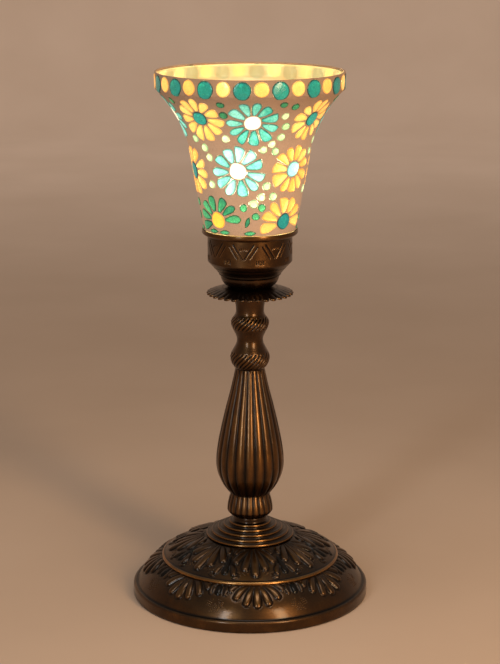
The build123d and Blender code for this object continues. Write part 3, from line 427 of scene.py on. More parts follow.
# ---- shade: its outline ------------------------------------------------------------------------
# The outside is a cone, an arc tangent to it and a nearly upright band; a depth is measured square
# to it, and heights are from the glass's foot.
GLASS_FOOT = 281.7
SHADE_HEIGHT = 118.3
FOOT_RADIUS, WAIST_RADIUS, WAIST_HEIGHT = 34.6, 44.6, 58.3
RIM_RADIUS, RIM_HEIGHT, MOUTH_RADIUS = 69.9, 105.5, 70.3
GLASS_DEPTH, GLASS_WALL = 1.85, 2.4
GROUT_DEPTH = 0.8
GROUT_FOOT = 2.7
CHIP_THICKNESS = 1.45

CONE = math.hypot(WAIST_RADIUS - FOOT_RADIUS, WAIST_HEIGHT)
CONE_OUT = (WAIST_HEIGHT / CONE, (FOOT_RADIUS - WAIST_RADIUS) / CONE)
TO_RIM = (RIM_RADIUS - WAIST_RADIUS, RIM_HEIGHT - WAIST_HEIGHT)
FLARE = (TO_RIM[0] ** 2 + TO_RIM[1] ** 2) / (2 * (TO_RIM[0] * CONE_OUT[0] + TO_RIM[1] * CONE_OUT[1]))
FLARE_MIDDLE = (WAIST_RADIUS + FLARE * CONE_OUT[0], WAIST_HEIGHT + FLARE * CONE_OUT[1])
BAND_LEAN = (MOUTH_RADIUS - RIM_RADIUS) / (SHADE_HEIGHT - RIM_HEIGHT)


def shade_line(depth, foot=0.0, top=SHADE_HEIGHT):
    """Radius and height along the shade at a depth, from a height up to another."""
    heights = np.linspace(foot, WAIST_HEIGHT, 24)
    cone = np.stack([FOOT_RADIUS + (WAIST_RADIUS - FOOT_RADIUS) / WAIST_HEIGHT * heights - depth / CONE_OUT[0],
                     heights], axis=1)
    angles = np.linspace(math.asin(-CONE_OUT[1]), math.pi / 2, 220)
    reach = FLARE + depth
    flare = np.stack([FLARE_MIDDLE[0] - reach * np.cos(angles), FLARE_MIDDLE[1] + reach * np.sin(angles)], axis=1)
    on_band = MOUTH_RADIUS - BAND_LEAN * (SHADE_HEIGHT - flare[:, 1]) - depth
    flare = flare[flare[:, 0] < on_band]
    cone = cone[cone[:, 1] < flare[0, 1] - 0.2]
    high = np.linspace(flare[-1, 1] + 0.25, top, 14)
    band = np.stack([MOUTH_RADIUS - BAND_LEAN * (SHADE_HEIGHT - high) - depth, high], axis=1)
    return np.concatenate([cone, flare[::4], flare[-1:], band])


FACE = shade_line(GLASS_DEPTH)
LENGTHS = np.concatenate([[0], np.cumsum(np.linalg.norm(np.diff(FACE, axis=0), axis=1))])


def length_up(height):
    """How far up the glass's face a height lies."""
    return float(np.interp(height, FACE[:, 1], LENGTHS))


def on_face(azimuth, length, out):
    """Places over the glass's face, by azimuth in degrees, length up it and distance out of it."""
    radius, height = np.interp(length, LENGTHS, FACE[:, 0]), np.interp(length, LENGTHS, FACE[:, 1])
    step = 0.5
    rise = np.interp(length + step, LENGTHS, FACE[:, 1]) - np.interp(length - step, LENGTHS, FACE[:, 1])
    spread = np.interp(length + step, LENGTHS, FACE[:, 0]) - np.interp(length - step, LENGTHS, FACE[:, 0])
    size = np.hypot(rise, spread)
    radius, height = radius + rise / size * out, height - spread / size * out
    angle = np.radians(azimuth)
    return np.stack([radius * np.sin(angle), -radius * np.cos(angle), GLASS_FOOT + height], axis=-1)


# ---- shade: the mosaic -------------------------------------------------------------------------
# One half of the mosaic, which is laid twice: azimuth, height up the glass, petals, centre, reach,
# and how light the centre's glass is.
FLOWERS = (
    (-40, 89.5, "cream", "teal", 19.3, 0.75), (2, 87.5, "turquoise", "pale", 19.6, 0.9),
    (54, 88.0, "cream", "teal", 18.6, 0.75), (98, 88.5, "turquoise", "pale", 19.3, 0.9),
    (-73, 48.0, "cream", "teal", 18.8, 0.25), (-12, 51.0, "turquoise", "pale", 19.4, 1.0),
    (47, 51.0, "cream", "turquoise", 18.6, 0.9), (-40, 13.3, "green", "amber", 19.0, 0.6),
    (43, 12.3, "cream", "teal", 19.6, 0.15))
PALE_DOTS = (
    (26, 92), (29, 84), (27, 76), (19.5, 71), (12, 67), (23.5, 65.5), (-21, 75), (-55, 73), (-45, 67),
    (-41, 60), (78, 70), (74, 62), (17, 40), (-42, 40), (25, 32), (12, 32), (4, 27), (76, 34))
GREEN_DOTS = (
    (-19, 101), (22, 101), (-19, 93), (31, 99), (76, 101), (-61, 101), (-7, 24), (13, 24), (6.5, 17.5),
    (83, 12), (-83, 14), (-78, 24))
LEAVES = ((-49, 4.7, 90), (-32, 4.7, 90), (0, 4.8, 88), (83, 4.7, 91), (99, 4.7, 89), (-3, 13, 20))
RIM_PAIRS = 16
PETALS = 11
CENTRE_RADIUS = 5.95
PETAL_FOOT = 6.75              # how far a petal starts from its flower's middle


def round_outline(radius, points, wander, seed):
    """A hand-cut round, a little out of true."""
    chance = random.Random(seed)
    waves = [(chance.uniform(0, math.tau), wander * chance.uniform(0.5, 1)) for _ in range(3)]
    outline = []
    for k in range(points):
        angle = math.tau * k / points
        reach = radius * (1 + sum(w * math.cos((n + 2) * angle + p) for n, (p, w) in enumerate(waves)))
        outline.append((reach * math.cos(angle), reach * math.sin(angle)))
    return outline


def curve_points(start, middle, end, count):
    """Points of a curve that is pulled towards its middle point, without its start."""
    return [tuple((1 - t) ** 2 * a + 2 * t * (1 - t) * b + t * t * c for a, b, c in zip(start, middle, end))
            for t in (k / count for k in range(1, count + 1))]


def petal_outline(full, straight, tip, foot):
    """A petal with one full side and one nearly straight, about its middle, with its foot below."""
    low, high, shoulder = -6.0, 6.0, (full * 0.76, 2.6)
    return ([(foot, low)] + curve_points((foot, low), (full * 0.62, -2.2), shoulder, 3)
            + curve_points(shoulder, (full * 0.66, 5.9), (tip, high), 3)
            + curve_points((tip, high), (-straight * 1.3, 4.2), (-foot, low), 5))


PETAL_LENGTH, ROUND_RADIUS, DOT_RADIUS = 12.0, 6.0, 3.1     # as the shapes are drawn
SHAPES = {
    "petal_a": petal_outline(5.4, 2.6, -0.9, 0.95),
    "petal_b": petal_outline(4.7, 3.6, 0.2, 0.85),
    "petal_c": petal_outline(5.8, 1.9, -1.7, 0.95),
    "petal_d": petal_outline(4.2, 3.5, 0.6, 0.8),
    "leaf": ([(0, -4.5)] + curve_points((0, -4.5), (3.7, -0.4), (0, 4.5), 6)
             + curve_points((0, 4.5), (-3.4, 0.7), (0, -4.5), 6)[:-1]),
    "round_a": round_outline(ROUND_RADIUS, 16, 0.015, 1),
    "round_b": round_outline(ROUND_RADIUS, 16, 0.03, 2),
    "dot": round_outline(DOT_RADIUS, 12, 0.035, 3),
}


def inset(outline, distance):
    """The outline moved inwards."""
    points = np.array(outline)
    ahead, behind = np.roll(points, -1, axis=0) - points, points - np.roll(points, 1, axis=0)
    normals = []
    for edge in (ahead, behind):
        edge = edge / np.maximum(np.linalg.norm(edge, axis=1), 1e-6)[:, None]
        normals.append(np.stack([edge[:, 1], -edge[:, 0]], axis=1))
    mean = normals[0] + normals[1]
    size = np.maximum(np.linalg.norm(mean, axis=1), 0.9)
    return points - mean / (size ** 2)[:, None] * 2 * distance


def chip_mesh(name, outline):
    """A chip of glass with its cut edges eased and its face a little domed."""
    count = len(outline)
    rings, edges = [], []
    for inward, height, edge in ((0, 0, 1), (0, 0.70, 1), (0.16, 0.90, 1), (0.55, 0.98, 0.5), (1.15, 1.0, 0.0)):
        ring = inset(outline, inward)
        rings += [(x, y, height * CHIP_THICKNESS) for x, y in ring]
        edges += [edge] * count
    middle = np.mean(outline, axis=0)
    rings += [(middle[0], middle[1], 0), (middle[0], middle[1], 1.03 * CHIP_THICKNESS)]
    edges += [1, 0]
    faces = []
    for ring in range(4):
        for k in range(count):
            a, b = ring * count + k, ring * count + (k + 1) % count
            faces.append((a, b, b + count, a + count))
    for k in range(count):
        faces.append(((k + 1) % count, k, 5 * count))
        faces.append((4 * count + k, 4 * count + (k + 1) % count, 5 * count + 1))
    return new_mesh(name, rings, faces, {"edge": edges})


def chip(shape, glass, azimuth, length, lean, size, tint):
    """A chip: how far up the glass its middle lies, its lean from the upright, and its size over the shape's."""
    return {"shape": shape, "glass": glass, "azimuth": azimuth, "length": length, "lean": lean, "size": size,
            "tint": tint}


def flower(chance, number, azimuth, height, petal, centre, reach, shade):
    """The chips of one flower, its centre first."""
    middle = length_up(height)
    chips = [chip("round_b", centre, azimuth, middle, chance.uniform(0, 360), (CENTRE_RADIUS / ROUND_RADIUS,) * 2,
                  shade)]
    fresh = chance.uniform(0.3, 0.7)
    for k in range(PETALS):
        angle = 7 * number + 360 * k / PETALS + chance.uniform(-2.5, 2.5)
        long = (reach - PETAL_FOOT) * chance.uniform(0.93, 1.03)
        radius = PETAL_FOOT + long / 2
        length = middle + radius * math.cos(math.radians(angle))
        below = 0.5 * long * abs(math.cos(math.radians(angle))) + 3.2 * abs(math.sin(math.radians(angle)))
        if length - below < GROUT_FOOT:
            continue
        around = radius * math.sin(math.radians(angle)) / np.interp(length, LENGTHS, FACE[:, 0])
        shape = chance.choice(("petal_a", "petal_a", "petal_b", "petal_c", "petal_d"))
        tint = min(1.0, max(0.0, fresh + chance.uniform(-0.35, 0.35)))
        chips.append(chip(shape, petal, azimuth + math.degrees(around), length, angle,
                          (1.42 * chance.uniform(0.88, 1.06), 1.04 * long / PETAL_LENGTH), tint))
    return chips


def places_round(one):
    """Places close together round a chip's outline."""
    outline = on_sheet(one, 0.0)
    ring = np.concatenate([outline, outline[:1]])
    ring = np.concatenate([np.linspace(a, b, 5)[:-1] for a, b in zip(ring, ring[1:])])
    return on_face(ring[:, 0], ring[:, 1], GLASS_DEPTH)


def trim_crowded(chips, joint=0.62):
    """Trims the petals that crowd a neighbour or the shade's foot, until a joint of grout shows."""
    places = [places_round(one) for one in chips]
    middles = np.array([ring.mean(axis=0) for ring in places])
    near = [(a, b) for a in range(len(chips)) for b in range(a) if np.linalg.norm(middles[a] - middles[b]) < 18]
    for _ in range(14):
        too_long = {k for k, ring in enumerate(places) if ring[:, 2].min() < GLASS_FOOT + GROUT_FOOT + 0.15}
        too_wide = set()
        for a, b in near:
            if np.linalg.norm(places[a][:, None] - places[b][None], axis=2).min() < joint:
                petals = {k for k in (a, b) if chips[k]["shape"].startswith("petal")}
                if len(petals) == 2:
                    too_wide |= petals
                else:
                    too_long |= petals
        for k in too_long | too_wide:
            wide, long = chips[k]["size"]
            if chips[k]["shape"].startswith("petal"):
                chips[k]["size"] = (wide * (0.965 if k in too_wide else 1.0),
                                    long * (0.98 if k in too_long else 0.995))
                places[k] = places_round(chips[k])


def mosaic():
    """Every chip of the shade, listed by the piece that it belongs to."""
    chance = random.Random(11)
    pieces = {}

    def add(name, one):
        pieces.setdefault(name, []).append(one)

    number = 0
    for turn in (0, 180):
        for azimuth, height, petal, centre, reach, shade in FLOWERS:
            middle, *around = flower(chance, number, azimuth + turn, height, petal, centre, reach, shade)
            add("centres_" + {"pale": "cream", "turquoise": "teal"}.get(centre, centre), middle)
            for one in around:
                add("petals_" + petal, one)
            number += 1
        for places, name, glass in ((PALE_DOTS, "dots_pale", "pale_green"), (GREEN_DOTS, "dots_green", "green")):
            for azimuth, height in places:
                size = chance.uniform(0.94, 1.06)
                add(name, chip("dot", glass, azimuth + turn, length_up(height), chance.uniform(0, 360),
                               (size, size * chance.uniform(0.9, 1.05)), chance.uniform(0.1, 0.9)))
        for azimuth, height, lean in LEAVES:
            add("leaves_green", chip("leaf", "green", azimuth + turn, length_up(height), lean, (1, 1),
                                     chance.random()))
    for k in range(RIM_PAIRS):
        for glass, radius, drop, first in (("cream", 5.6, 6.4, 0.3), ("teal", 6.6, 7.3, -0.2)):
            add("rim_rounds_" + glass, chip(
                "round_a", glass, 360 / RIM_PAIRS * (k + first), length_up(SHADE_HEIGHT - drop),
                chance.uniform(0, 360),
                [radius / ROUND_RADIUS * chance.uniform(0.94, 0.99) for _ in range(2)], chance.uniform(0.1, 0.9)))
    return pieces


def sized(one, room=0.0):
    """A chip's outline in millimetres, before it leans."""
    return inset(np.array(SHAPES[one["shape"]]) * one["size"], -room)


def on_sheet(one, room):
    """A chip's outline on the unrolled shade, as azimuth and length."""
    turn = -math.radians(one["lean"])
    points = sized(one, room) @ np.array([[math.cos(turn), math.sin(turn)], [-math.sin(turn), math.cos(turn)]])
    length = one["length"] + points[:, 1]
    across = np.degrees(points[:, 0] / np.interp(length, LENGTHS, FACE[:, 0]))
    return np.stack([one["azimuth"] + across, length], axis=1)


def lay(name, chips):
    """The mesh of one piece of the mosaic: its chips laid on the shade."""
    meshes = []
    for shape, glass in sorted({(one["shape"], one["glass"]) for one in chips}):
        some = [one for one in chips if (one["shape"], one["glass"]) == (shape, glass)]
        spots = bpy.data.meshes.new("spots")
        spots.from_pydata([(0, 0, 0)] * len(some), [], [])
        for label, values in (("azimuth", [math.radians(one["azimuth"]) for one in some]),
                              ("length", [one["length"] * MM for one in some]),
                              ("lean", [math.radians(one["lean"]) for one in some]),
                              ("tint", [one["tint"] for one in some])):
            spots.attributes.new(label, "FLOAT", "POINT").data.foreach_set("value", values)
        spots.attributes.new("size", "FLOAT_VECTOR", "POINT").data.foreach_set(
            "vector", [part for one in some for part in (*one["size"], 1.0)])
        meshes.append(run_tree(CHIPS, spots, Chip=CHIP_MODELS[shape], Meridian=MERIDIAN,
                              Material=GLASS[glass]))
    return joined(name, meshes)


def joined(name, meshes):
    """Several meshes as one, with their attributes."""
    parts = [bpy.data.objects.new(name, mesh) for mesh in meshes]
    for part in parts:
        bpy.context.scene.collection.objects.link(part)
    if len(parts) > 1:
        with bpy.context.temp_override(active_object=parts[0], selected_editable_objects=parts,
                                       selected_objects=parts, object=parts[0]):
            bpy.ops.object.join()
    mesh = parts[0].data
    bpy.data.objects.remove(parts[0])
    return mesh


def grout_mesh(chips):
    """The grout as one sheet with a hole for each chip, its edges raised to the thickness of the bed."""
    chance = random.Random(5)
    low, high, wrap = length_up(GROUT_FOOT), LENGTHS[-1], 14.0
    per_degree = math.pi / 180 * 50
    spots = [(azimuth, end) for end in (low, high) for azimuth in np.arange(-180, 180, 2.25)]
    for length in np.arange(low + 2.2, high - 1.2, 2.5):
        for azimuth in np.arange(-180, 180, 3.0):
            spots.append((azimuth + chance.uniform(-0.7, 0.7), length + chance.uniform(-0.5, 0.5)))
    outlines = [on_sheet(one, 0.14) for one in chips]
    for outline in outlines:
        outline[:, 0] += 360 * (outline[:, 0].mean() < -180) - 360 * (outline[:, 0].mean() >= 180)
    points, edges = [], []
    for shift in (-360, 0, 360):
        points += [(a + shift, v) for a, v in spots if abs(a + shift) < 180 + wrap]
    for shift in (-360, 0, 360):
        for outline in outlines:
            if abs(outline[:, 0].mean() + shift) < 180 + wrap + 8:
                first = len(points)
                points += [(a + shift, v) for a, v in outline]
                edges += [(first + k, first + (k + 1) % len(outline)) for k in range(len(outline))]
    flat = [Vector((a * per_degree, v)) for a, v in points]
    found, _, triangles, *_ = geometry.delaunay_2d_cdt(flat, edges, [], 0, 1e-5)
    found = np.array([(v[0] / per_degree, v[1]) for v in found])
    triangles = np.array([t for t in triangles if len(t) == 3])
    centres = found[triangles].mean(axis=1)
    keep = (centres[:, 0] >= -180) & (centres[:, 0] < 180)
    for outline in outlines:
        for shift in (-360, 0, 360):
            keep &= ~within(centres, outline + (shift, 0))
    triangles = triangles[keep]
    places = on_face(found[:, 0], found[:, 1], 0.0)
    _, first, same = np.unique(np.round(places, 3), axis=0, return_index=True, return_inverse=True)
    same = same.ravel()
    triangles = same[triangles]
    used, flat_index = np.unique(triangles, return_inverse=True)
    triangles = flat_index.reshape(-1, 3)
    sheet = found[first[used]]
    top = on_face(sheet[:, 0], sheet[:, 1], GLASS_DEPTH - GROUT_DEPTH + np.array(
        [chance.uniform(-0.05, 0.05) for _ in sheet]))
    under = on_face(sheet[:, 0], sheet[:, 1], 0.02)
    count = len(sheet)
    sides = {(a, b) for t in triangles for a, b in zip(t, np.roll(t, -1))}
    walls = [(b, a, a + count, b + count) for a, b in sides if (b, a) not in sides]
    faces = triangles.tolist() + (triangles[:, ::-1] + count).tolist() + [tuple(map(int, w)) for w in walls]
    return new_mesh("grout", np.concatenate([top, under]), faces, smooth=False)


def within(points, outline):
    """Which points lie inside an outline."""
    low, high = outline.min(axis=0), outline.max(axis=0)
    inside = np.zeros(len(points), bool)
    near = np.flatnonzero(((points >= low) & (points <= high)).all(axis=1))
    for k in near:
        x, y = points[k]
        (x0, y0), (x1, y1) = outline.T, np.roll(outline, -1, axis=0).T
        crosses = (y0 > y) != (y1 > y)
        with np.errstate(divide="ignore", invalid="ignore"):
            inside[k] = np.count_nonzero(crosses & (x < (x1 - x0) * (y - y0) / (y1 - y0) + x0)) % 2
    return inside


def glass_mesh(material):
    """The blown bowl, with its lip rounded by the fire."""
    outer = shade_line(GLASS_DEPTH, 0.0, SHADE_HEIGHT - 1.2)
    inner = shade_line(GLASS_DEPTH + GLASS_WALL, 0.0, SHADE_HEIGHT - 1.2)
    lip = arc(tuple(outer[-1]), ((outer[-1][0] + inner[-1][0]) / 2, SHADE_HEIGHT), tuple(inner[-1]), 8)
    outline = np.array([tuple(p) for p in outer[::2]] + [tuple(outer[-1])] + lip + [tuple(p) for p in inner[::-2][1:]])
    inside = np.concatenate([np.zeros(len(outer[::2]) + 1), np.linspace(0.3, 1, len(lip)),
                             np.ones(len(outline) - len(outer[::2]) - 1 - len(lip))])
    turn = np.linspace(0, 360 / 36, 5)
    shape = (len(outline), len(turn))
    mesh = sector(np.broadcast_to(outline[:, :1], shape), np.broadcast_to(outline[:, 1:] + GLASS_FOOT, shape),
                  np.broadcast_to(turn, shape), np.broadcast_to(inside[:, None], shape), 36, material, "glass")
    mesh.attributes["wear_and_sheen"].name = "inside"
    return mesh


ROUND = round_tree()
CHIPS = chip_tree()
CHIP_MODELS = {}
meridian = bpy.data.curves.new("meridian", "CURVE")
meridian.dimensions = "3D"
spline = meridian.splines.new("POLY")
spline.points.add(len(FACE) - 1)
for point, (radius, height) in zip(spline.points, FACE):
    point.co = (radius * MM, 0, (height + GLASS_FOOT) * MM, 1)
MERIDIAN = bpy.data.objects.new("meridian", meridian)

CHIP_PIECES = mosaic()
trim_crowded([one for chips in CHIP_PIECES.values() for one in chips])
CHIP_SLOTS = {"petals_cream": "cream_glass", "petals_turquoise": "turquoise_glass", "petals_green": "green_glass",
              "centres_teal": "teal_glass", "centres_cream": "pale_glass", "centres_amber": "amber_glass",
              "dots_pale": "pale_green_glass", "dots_green": "green_glass", "leaves_green": "green_glass",
              "rim_rounds_cream": "cream_glass", "rim_rounds_teal": "teal_glass"}
for shape, outline in SHAPES.items():
    CHIP_MODELS[shape] = bpy.data.objects.new(shape, chip_mesh(shape, outline))
for name, chips in CHIP_PIECES.items():
    piece("mosaic_" + name, lay(name, chips), "shade", name, slot=CHIP_SLOTS[name])
grout = piece("mosaic_grout", grout_mesh([one for chips in CHIP_PIECES.values() for one in chips]), "shade",
              "grout_layer", slot="grout")
grout.data.materials.append(grout_cement())
piece("glass_bowl", glass_mesh(shade_glass()), "shade", "glass_shade", slot="shade_glass")
for model in (*CHIP_MODELS.values(), MERIDIAN):
    bpy.data.objects.remove(model)


# ---- base --------------------------------------------------------------------------------------
CROWN = (34.3, 45.2)
RIDGE, BELOW_RIDGE = (66.0, 31.0), (67.44, 28.2)
GROOVE = (86.6, 8.9)
BASE_RADIUS = 90.0
BASE_SECTORS = 8
BASE_TURN = 4.0                 # azimuth of the leaf at the front


def finger(across, down, stalk, bend, tip, thin, fat):
    """How far inside a bent finger of leaf a place is, 1 on its middle line and 0 at its edge, and how far along."""
    line_of = [stalk] + curve_points(stalk, bend, tip, 9)
    nearest = np.full_like(across, 99.0)
    along = np.zeros_like(across)
    for k, (start, end) in enumerate(zip(line_of, line_of[1:])):
        run = (end[0] - start[0], end[1] - start[1])
        share = np.clip(((across - start[0]) * run[0] + (down - start[1]) * run[1])
                        / max(run[0] ** 2 + run[1] ** 2, 1e-6), 0, 1)
        away = np.hypot(across - start[0] - share * run[0], down - start[1] - share * run[1])
        far = (k + share) / 9
        away = away / (thin + (fat - thin) * np.sin(far * 1.9) ** 1.3)
        along = np.where(away < nearest, far, along)
        nearest = np.minimum(nearest, away)
    return 1 - nearest, along


def leaf_relief(across, down, edge, leaves):
    """The relief and wear of one tier's leaves; edge is half of the sector's width at each place."""
    total, under, inside = np.zeros_like(across), np.zeros_like(across), np.full_like(across, -9.0)
    for stalk, bend, tip, thin, fat, height, at_edge in leaves:
        for side in (-1, 1):
            place = across * side
            if at_edge:
                place = place + np.where(across * side > 0, -edge, edge)
            deep, along = finger(place, down, stalk, bend, tip, thin, fat)
            body = height * np.sqrt(np.clip(1 - (1 - deep) ** 2, 0, 1)) * (0.45 + 0.55 * smooth(0, 0.75, along))
            body = np.where(deep > 0, body - 0.22 * np.exp(-((1 - deep) / 0.16) ** 2) * smooth(0.9, 0.5, along), 0)
            same = side > 0 and not at_edge and stalk[0] == 0 and tip[0] == 0
            under = under if same else np.maximum(under, np.minimum(total, body))
            total = np.maximum(total, body)
            inside = np.maximum(inside, deep)
    outline = np.exp(-(inside / 0.2) ** 2)
    crease = smooth(0.42, 0.0, total - under) * smooth(0.15, 0.5, under)
    wear_and_sheen = np.where(inside > 0, -0.35 + 0.42 * total, 0.0) - 0.75 * outline - 0.8 * crease
    return total - 0.3 * np.exp(-((inside + 0.14) / 0.14) ** 2) - 0.3 * crease, wear_and_sheen


UPPER_LEAVES = (                # stalk, bend, tip, half width at stalk and tip, height, whether on the sector's edge
    ((0, 1.0), (0, 12.0), (0, 27.5), 1.6, 3.3, 1.7, False),
    ((1.5, 1.5), (4.2, 11.0), (7.6, 22.0), 1.4, 3.0, 1.5, False),
    ((3.2, 1.5), (8.5, 6.5), (14.2, 15.5), 1.2, 2.8, 1.35, False),
    ((5.5, 0.8), (10.5, 1.5), (13.3, 7.2), 1.0, 1.9, 1.1, False),
    ((0, 12.0), (0, 18.0), (0, 27.0), 0.9, 2.5, 1.3, True),
    ((0.8, 19.0), (5.4, 20.0), (7.0, 27.8), 0.9, 2.2, 1.15, True),
    ((10.2, 27.5), (12.5, 32.0), (8.0, 31.6), 0.7, 1.3, 0.9, True))
LOWER_LEAVES = (
    ((0, -1.0), (0, 8.0), (0, 16.5), 1.7, 3.1, 1.7, False),
    ((1.8, -1.0), (5.0, 6.5), (8.4, 15.4), 1.3, 2.7, 1.6, False),
    ((4.0, -1.0), (10.0, 1.5), (15.6, 11.0), 1.3, 2.5, 1.5, False),
    ((7.0, -1.5), (14.5, -2.5), (19.4, 5.0), 1.0, 2.1, 1.2, False),
    ((0, -1.5), (0, 3.0), (0, 7.8), 1.2, 2.2, 1.2, True),
    ((2.0, -1.0), (7.0, 1.5), (5.6, 8.6), 0.8, 1.6, 1.0, True))


def base_outline():
    """The base's outline from the foot of its band, up over both tiers and back underneath."""
    path = [(BASE_RADIUS, 0.6)] + line((BASE_RADIUS, 0.6), (BASE_RADIUS, 7.3), 5)
    path += arc(path[-1], (89.53, 8.43), (88.4, 8.9), 4) + line((88.4, 8.9), GROOVE, 3)
    lower_start = len(path)
    path += arc(GROOVE, bowed(GROOVE, BELOW_RIDGE, -2.6), BELOW_RIDGE, 46)
    lower_end = len(path)
    path += arc(BELOW_RIDGE, (67.8, 30.07), RIDGE, 7)
    upper_start = len(path)
    path += arc(RIDGE, bowed(RIDGE, CROWN, -0.9), CROWN, 56)
    upper_end = len(path)
    path += line(CROWN, (BORE, CROWN[1]), 3) + [(BORE, 43.2), (33.6, 43.2)]
    path += arc((33.6, 43.2), (50.0, 36.4), (65.2, 29.1), 4) + arc((65.2, 29.1), (76.6, 20.0), (84.9, 6.9), 4)
    return np.array(path + [(86.5, 6.9), (86.5, 0.6)]), (lower_start, lower_end), (upper_start, upper_end)


def base_mesh(material):
    """The base's shell, with a leaf cluster on both tiers of each sector."""
    path, lower, upper = base_outline()
    out, along = out_of(path)
    turn = np.linspace(-0.5, 0.5, 89) * 360 / BASE_SECTORS
    raised = np.zeros((len(path), len(turn)))
    wear_and_sheen = np.zeros_like(raised)
    wear_and_sheen[:lower[0]] = 0.12
    wear_and_sheen[lower[1]:upper[0]] = 0.85
    wear_and_sheen[lower[0] - 3:lower[0] + 1] = -0.8
    for (start, end), lobes, downward in ((lower, LOWER_LEAVES, True), (upper, UPPER_LEAVES, False)):
        rows = slice(start - 1, end)
        span = along[rows] - along[start - 1]
        down = span[-1] - span
        across = np.radians(turn)[None, :] * path[rows, :1]
        edge = np.radians(180 / BASE_SECTORS) * path[rows, :1] * np.ones_like(across)
        relief, wear = leaf_relief(across, down[:, None] * np.ones_like(across), edge, lobes)
        fade = (smooth(0, 1.2, down) * smooth(0, 1.6, span))[:, None]
        raised[rows] = relief * fade
        wear_and_sheen[rows] = wear * fade - 0.6 * (1 - fade)
    points = path[:, None, :] + out[:, None, :] * raised[:, :, None]
    turns = np.broadcast_to(turn + BASE_TURN, raised.shape)
    mesh = sector(points[:, :, 0], points[:, :, 1], turns, wear_and_sheen, BASE_SECTORS, material, "base")
    return mesh


def cut_round(mesh, holes):
    """Cuts level round holes at the back, each given as radius, height and how near the axis it starts."""
    body = bpy.data.objects.new("body", mesh)
    bpy.context.scene.collection.objects.link(body)
    cutters = []
    for radius, height, near in holes:
        angles = [math.tau * k / 40 for k in range(40)]
        ring = [(radius * math.cos(angle), height + radius * math.sin(angle)) for angle in angles]
        points = [(x, y, z) for y in (near, BASE_RADIUS + 3) for x, z in ring]
        faces = [(k, (k + 1) % 40, 40 + (k + 1) % 40, 40 + k)[::-1] for k in range(40)]
        faces += [tuple(range(40)), tuple(range(79, 39, -1))]
        cutter = bpy.data.objects.new("cutter", new_mesh("cutter", points, faces, smooth=False))
        bpy.context.scene.collection.objects.link(cutter)
        cut = body.modifiers.new("cut", "BOOLEAN")
        cut.operation, cut.object, cut.solver = "DIFFERENCE", cutter, "EXACT"
        cutters.append(cutter)
    made = bpy.data.meshes.new_from_object(body.evaluated_get(bpy.context.evaluated_depsgraph_get()))
    for used in (body, *cutters):
        bpy.data.objects.remove(used)
    return made


def stud_tree():
    """Sets a small shape on each point of a mesh, standing along its facing, and repeats them round the axis."""
    tree, source, sink = new_tree("studs", Stud="Object", Count="Int", Material="Material")
    facing = put(tree, "GeometryNodeInputNamedAttribute", {"Name": "facing"}, data_type="FLOAT_VECTOR")
    stand = put(tree, "FunctionNodeAlignRotationToVector", {"Vector": facing.outputs[0]}, axis="Z")
    shape = put(tree, "GeometryNodeObjectInfo", {"Object": source.outputs["Stud"]})
    points = put(tree, "GeometryNodeMeshToPoints", {"Mesh": source.outputs["Geometry"]})
    studs = put(tree, "GeometryNodeInstanceOnPoints", {
        "Points": points.outputs[0], "Instance": shape.outputs["Geometry"], "Rotation": stand.outputs[0]})
    one = put(tree, "GeometryNodeRealizeInstances", {"Geometry": studs.outputs[0]})
    turns = put(tree, "GeometryNodeMeshLine", {"Count": source.outputs["Count"], "Offset": (0, 0, 0)})
    index = put(tree, "GeometryNodeInputIndex")
    step = calc(tree, "DIVIDE", math.tau, source.outputs["Count"])
    turn = put(tree, "ShaderNodeCombineXYZ", {"Z": calc(tree, "MULTIPLY", index.outputs[0], step)})
    round_it = put(tree, "GeometryNodeInstanceOnPoints", {
        "Points": turns.outputs[0], "Instance": one.outputs[0], "Rotation": turn.outputs[0]})
    whole = put(tree, "GeometryNodeRealizeInstances", {"Geometry": round_it.outputs[0]})
    painted = put(tree, "GeometryNodeSetMaterial", {
        "Geometry": whole.outputs[0], "Material": source.outputs["Material"]})
    tree.links.new(painted.outputs[0], sink.inputs[0])
    return tree


def punch_mesh():
    """A punched dent: a raised rim round a dark pit."""
    rings = ((0.62, -0.35, -0.4), (0.60, 0.05, -0.2), (0.42, 0.16, 0.7), (0.22, 0.02, -1.0))
    points, wear_and_sheen = [], []
    for radius, height, wear in rings:
        angles = [math.tau * k / 6 for k in range(6)]
        points += [(radius * math.cos(angle), radius * math.sin(angle), height) for angle in angles]
        wear_and_sheen += [wear] * 6
    faces = [(6 * ring + k, 6 * ring + (k + 1) % 6, 6 * ring + 6 + (k + 1) % 6, 6 * ring + 6 + k)
             for ring in range(3) for k in range(6)]
    faces += [tuple(range(5, -1, -1)), tuple(range(18, 24))]
    return new_mesh("punch", points, faces, {"wear_and_sheen": wear_and_sheen})


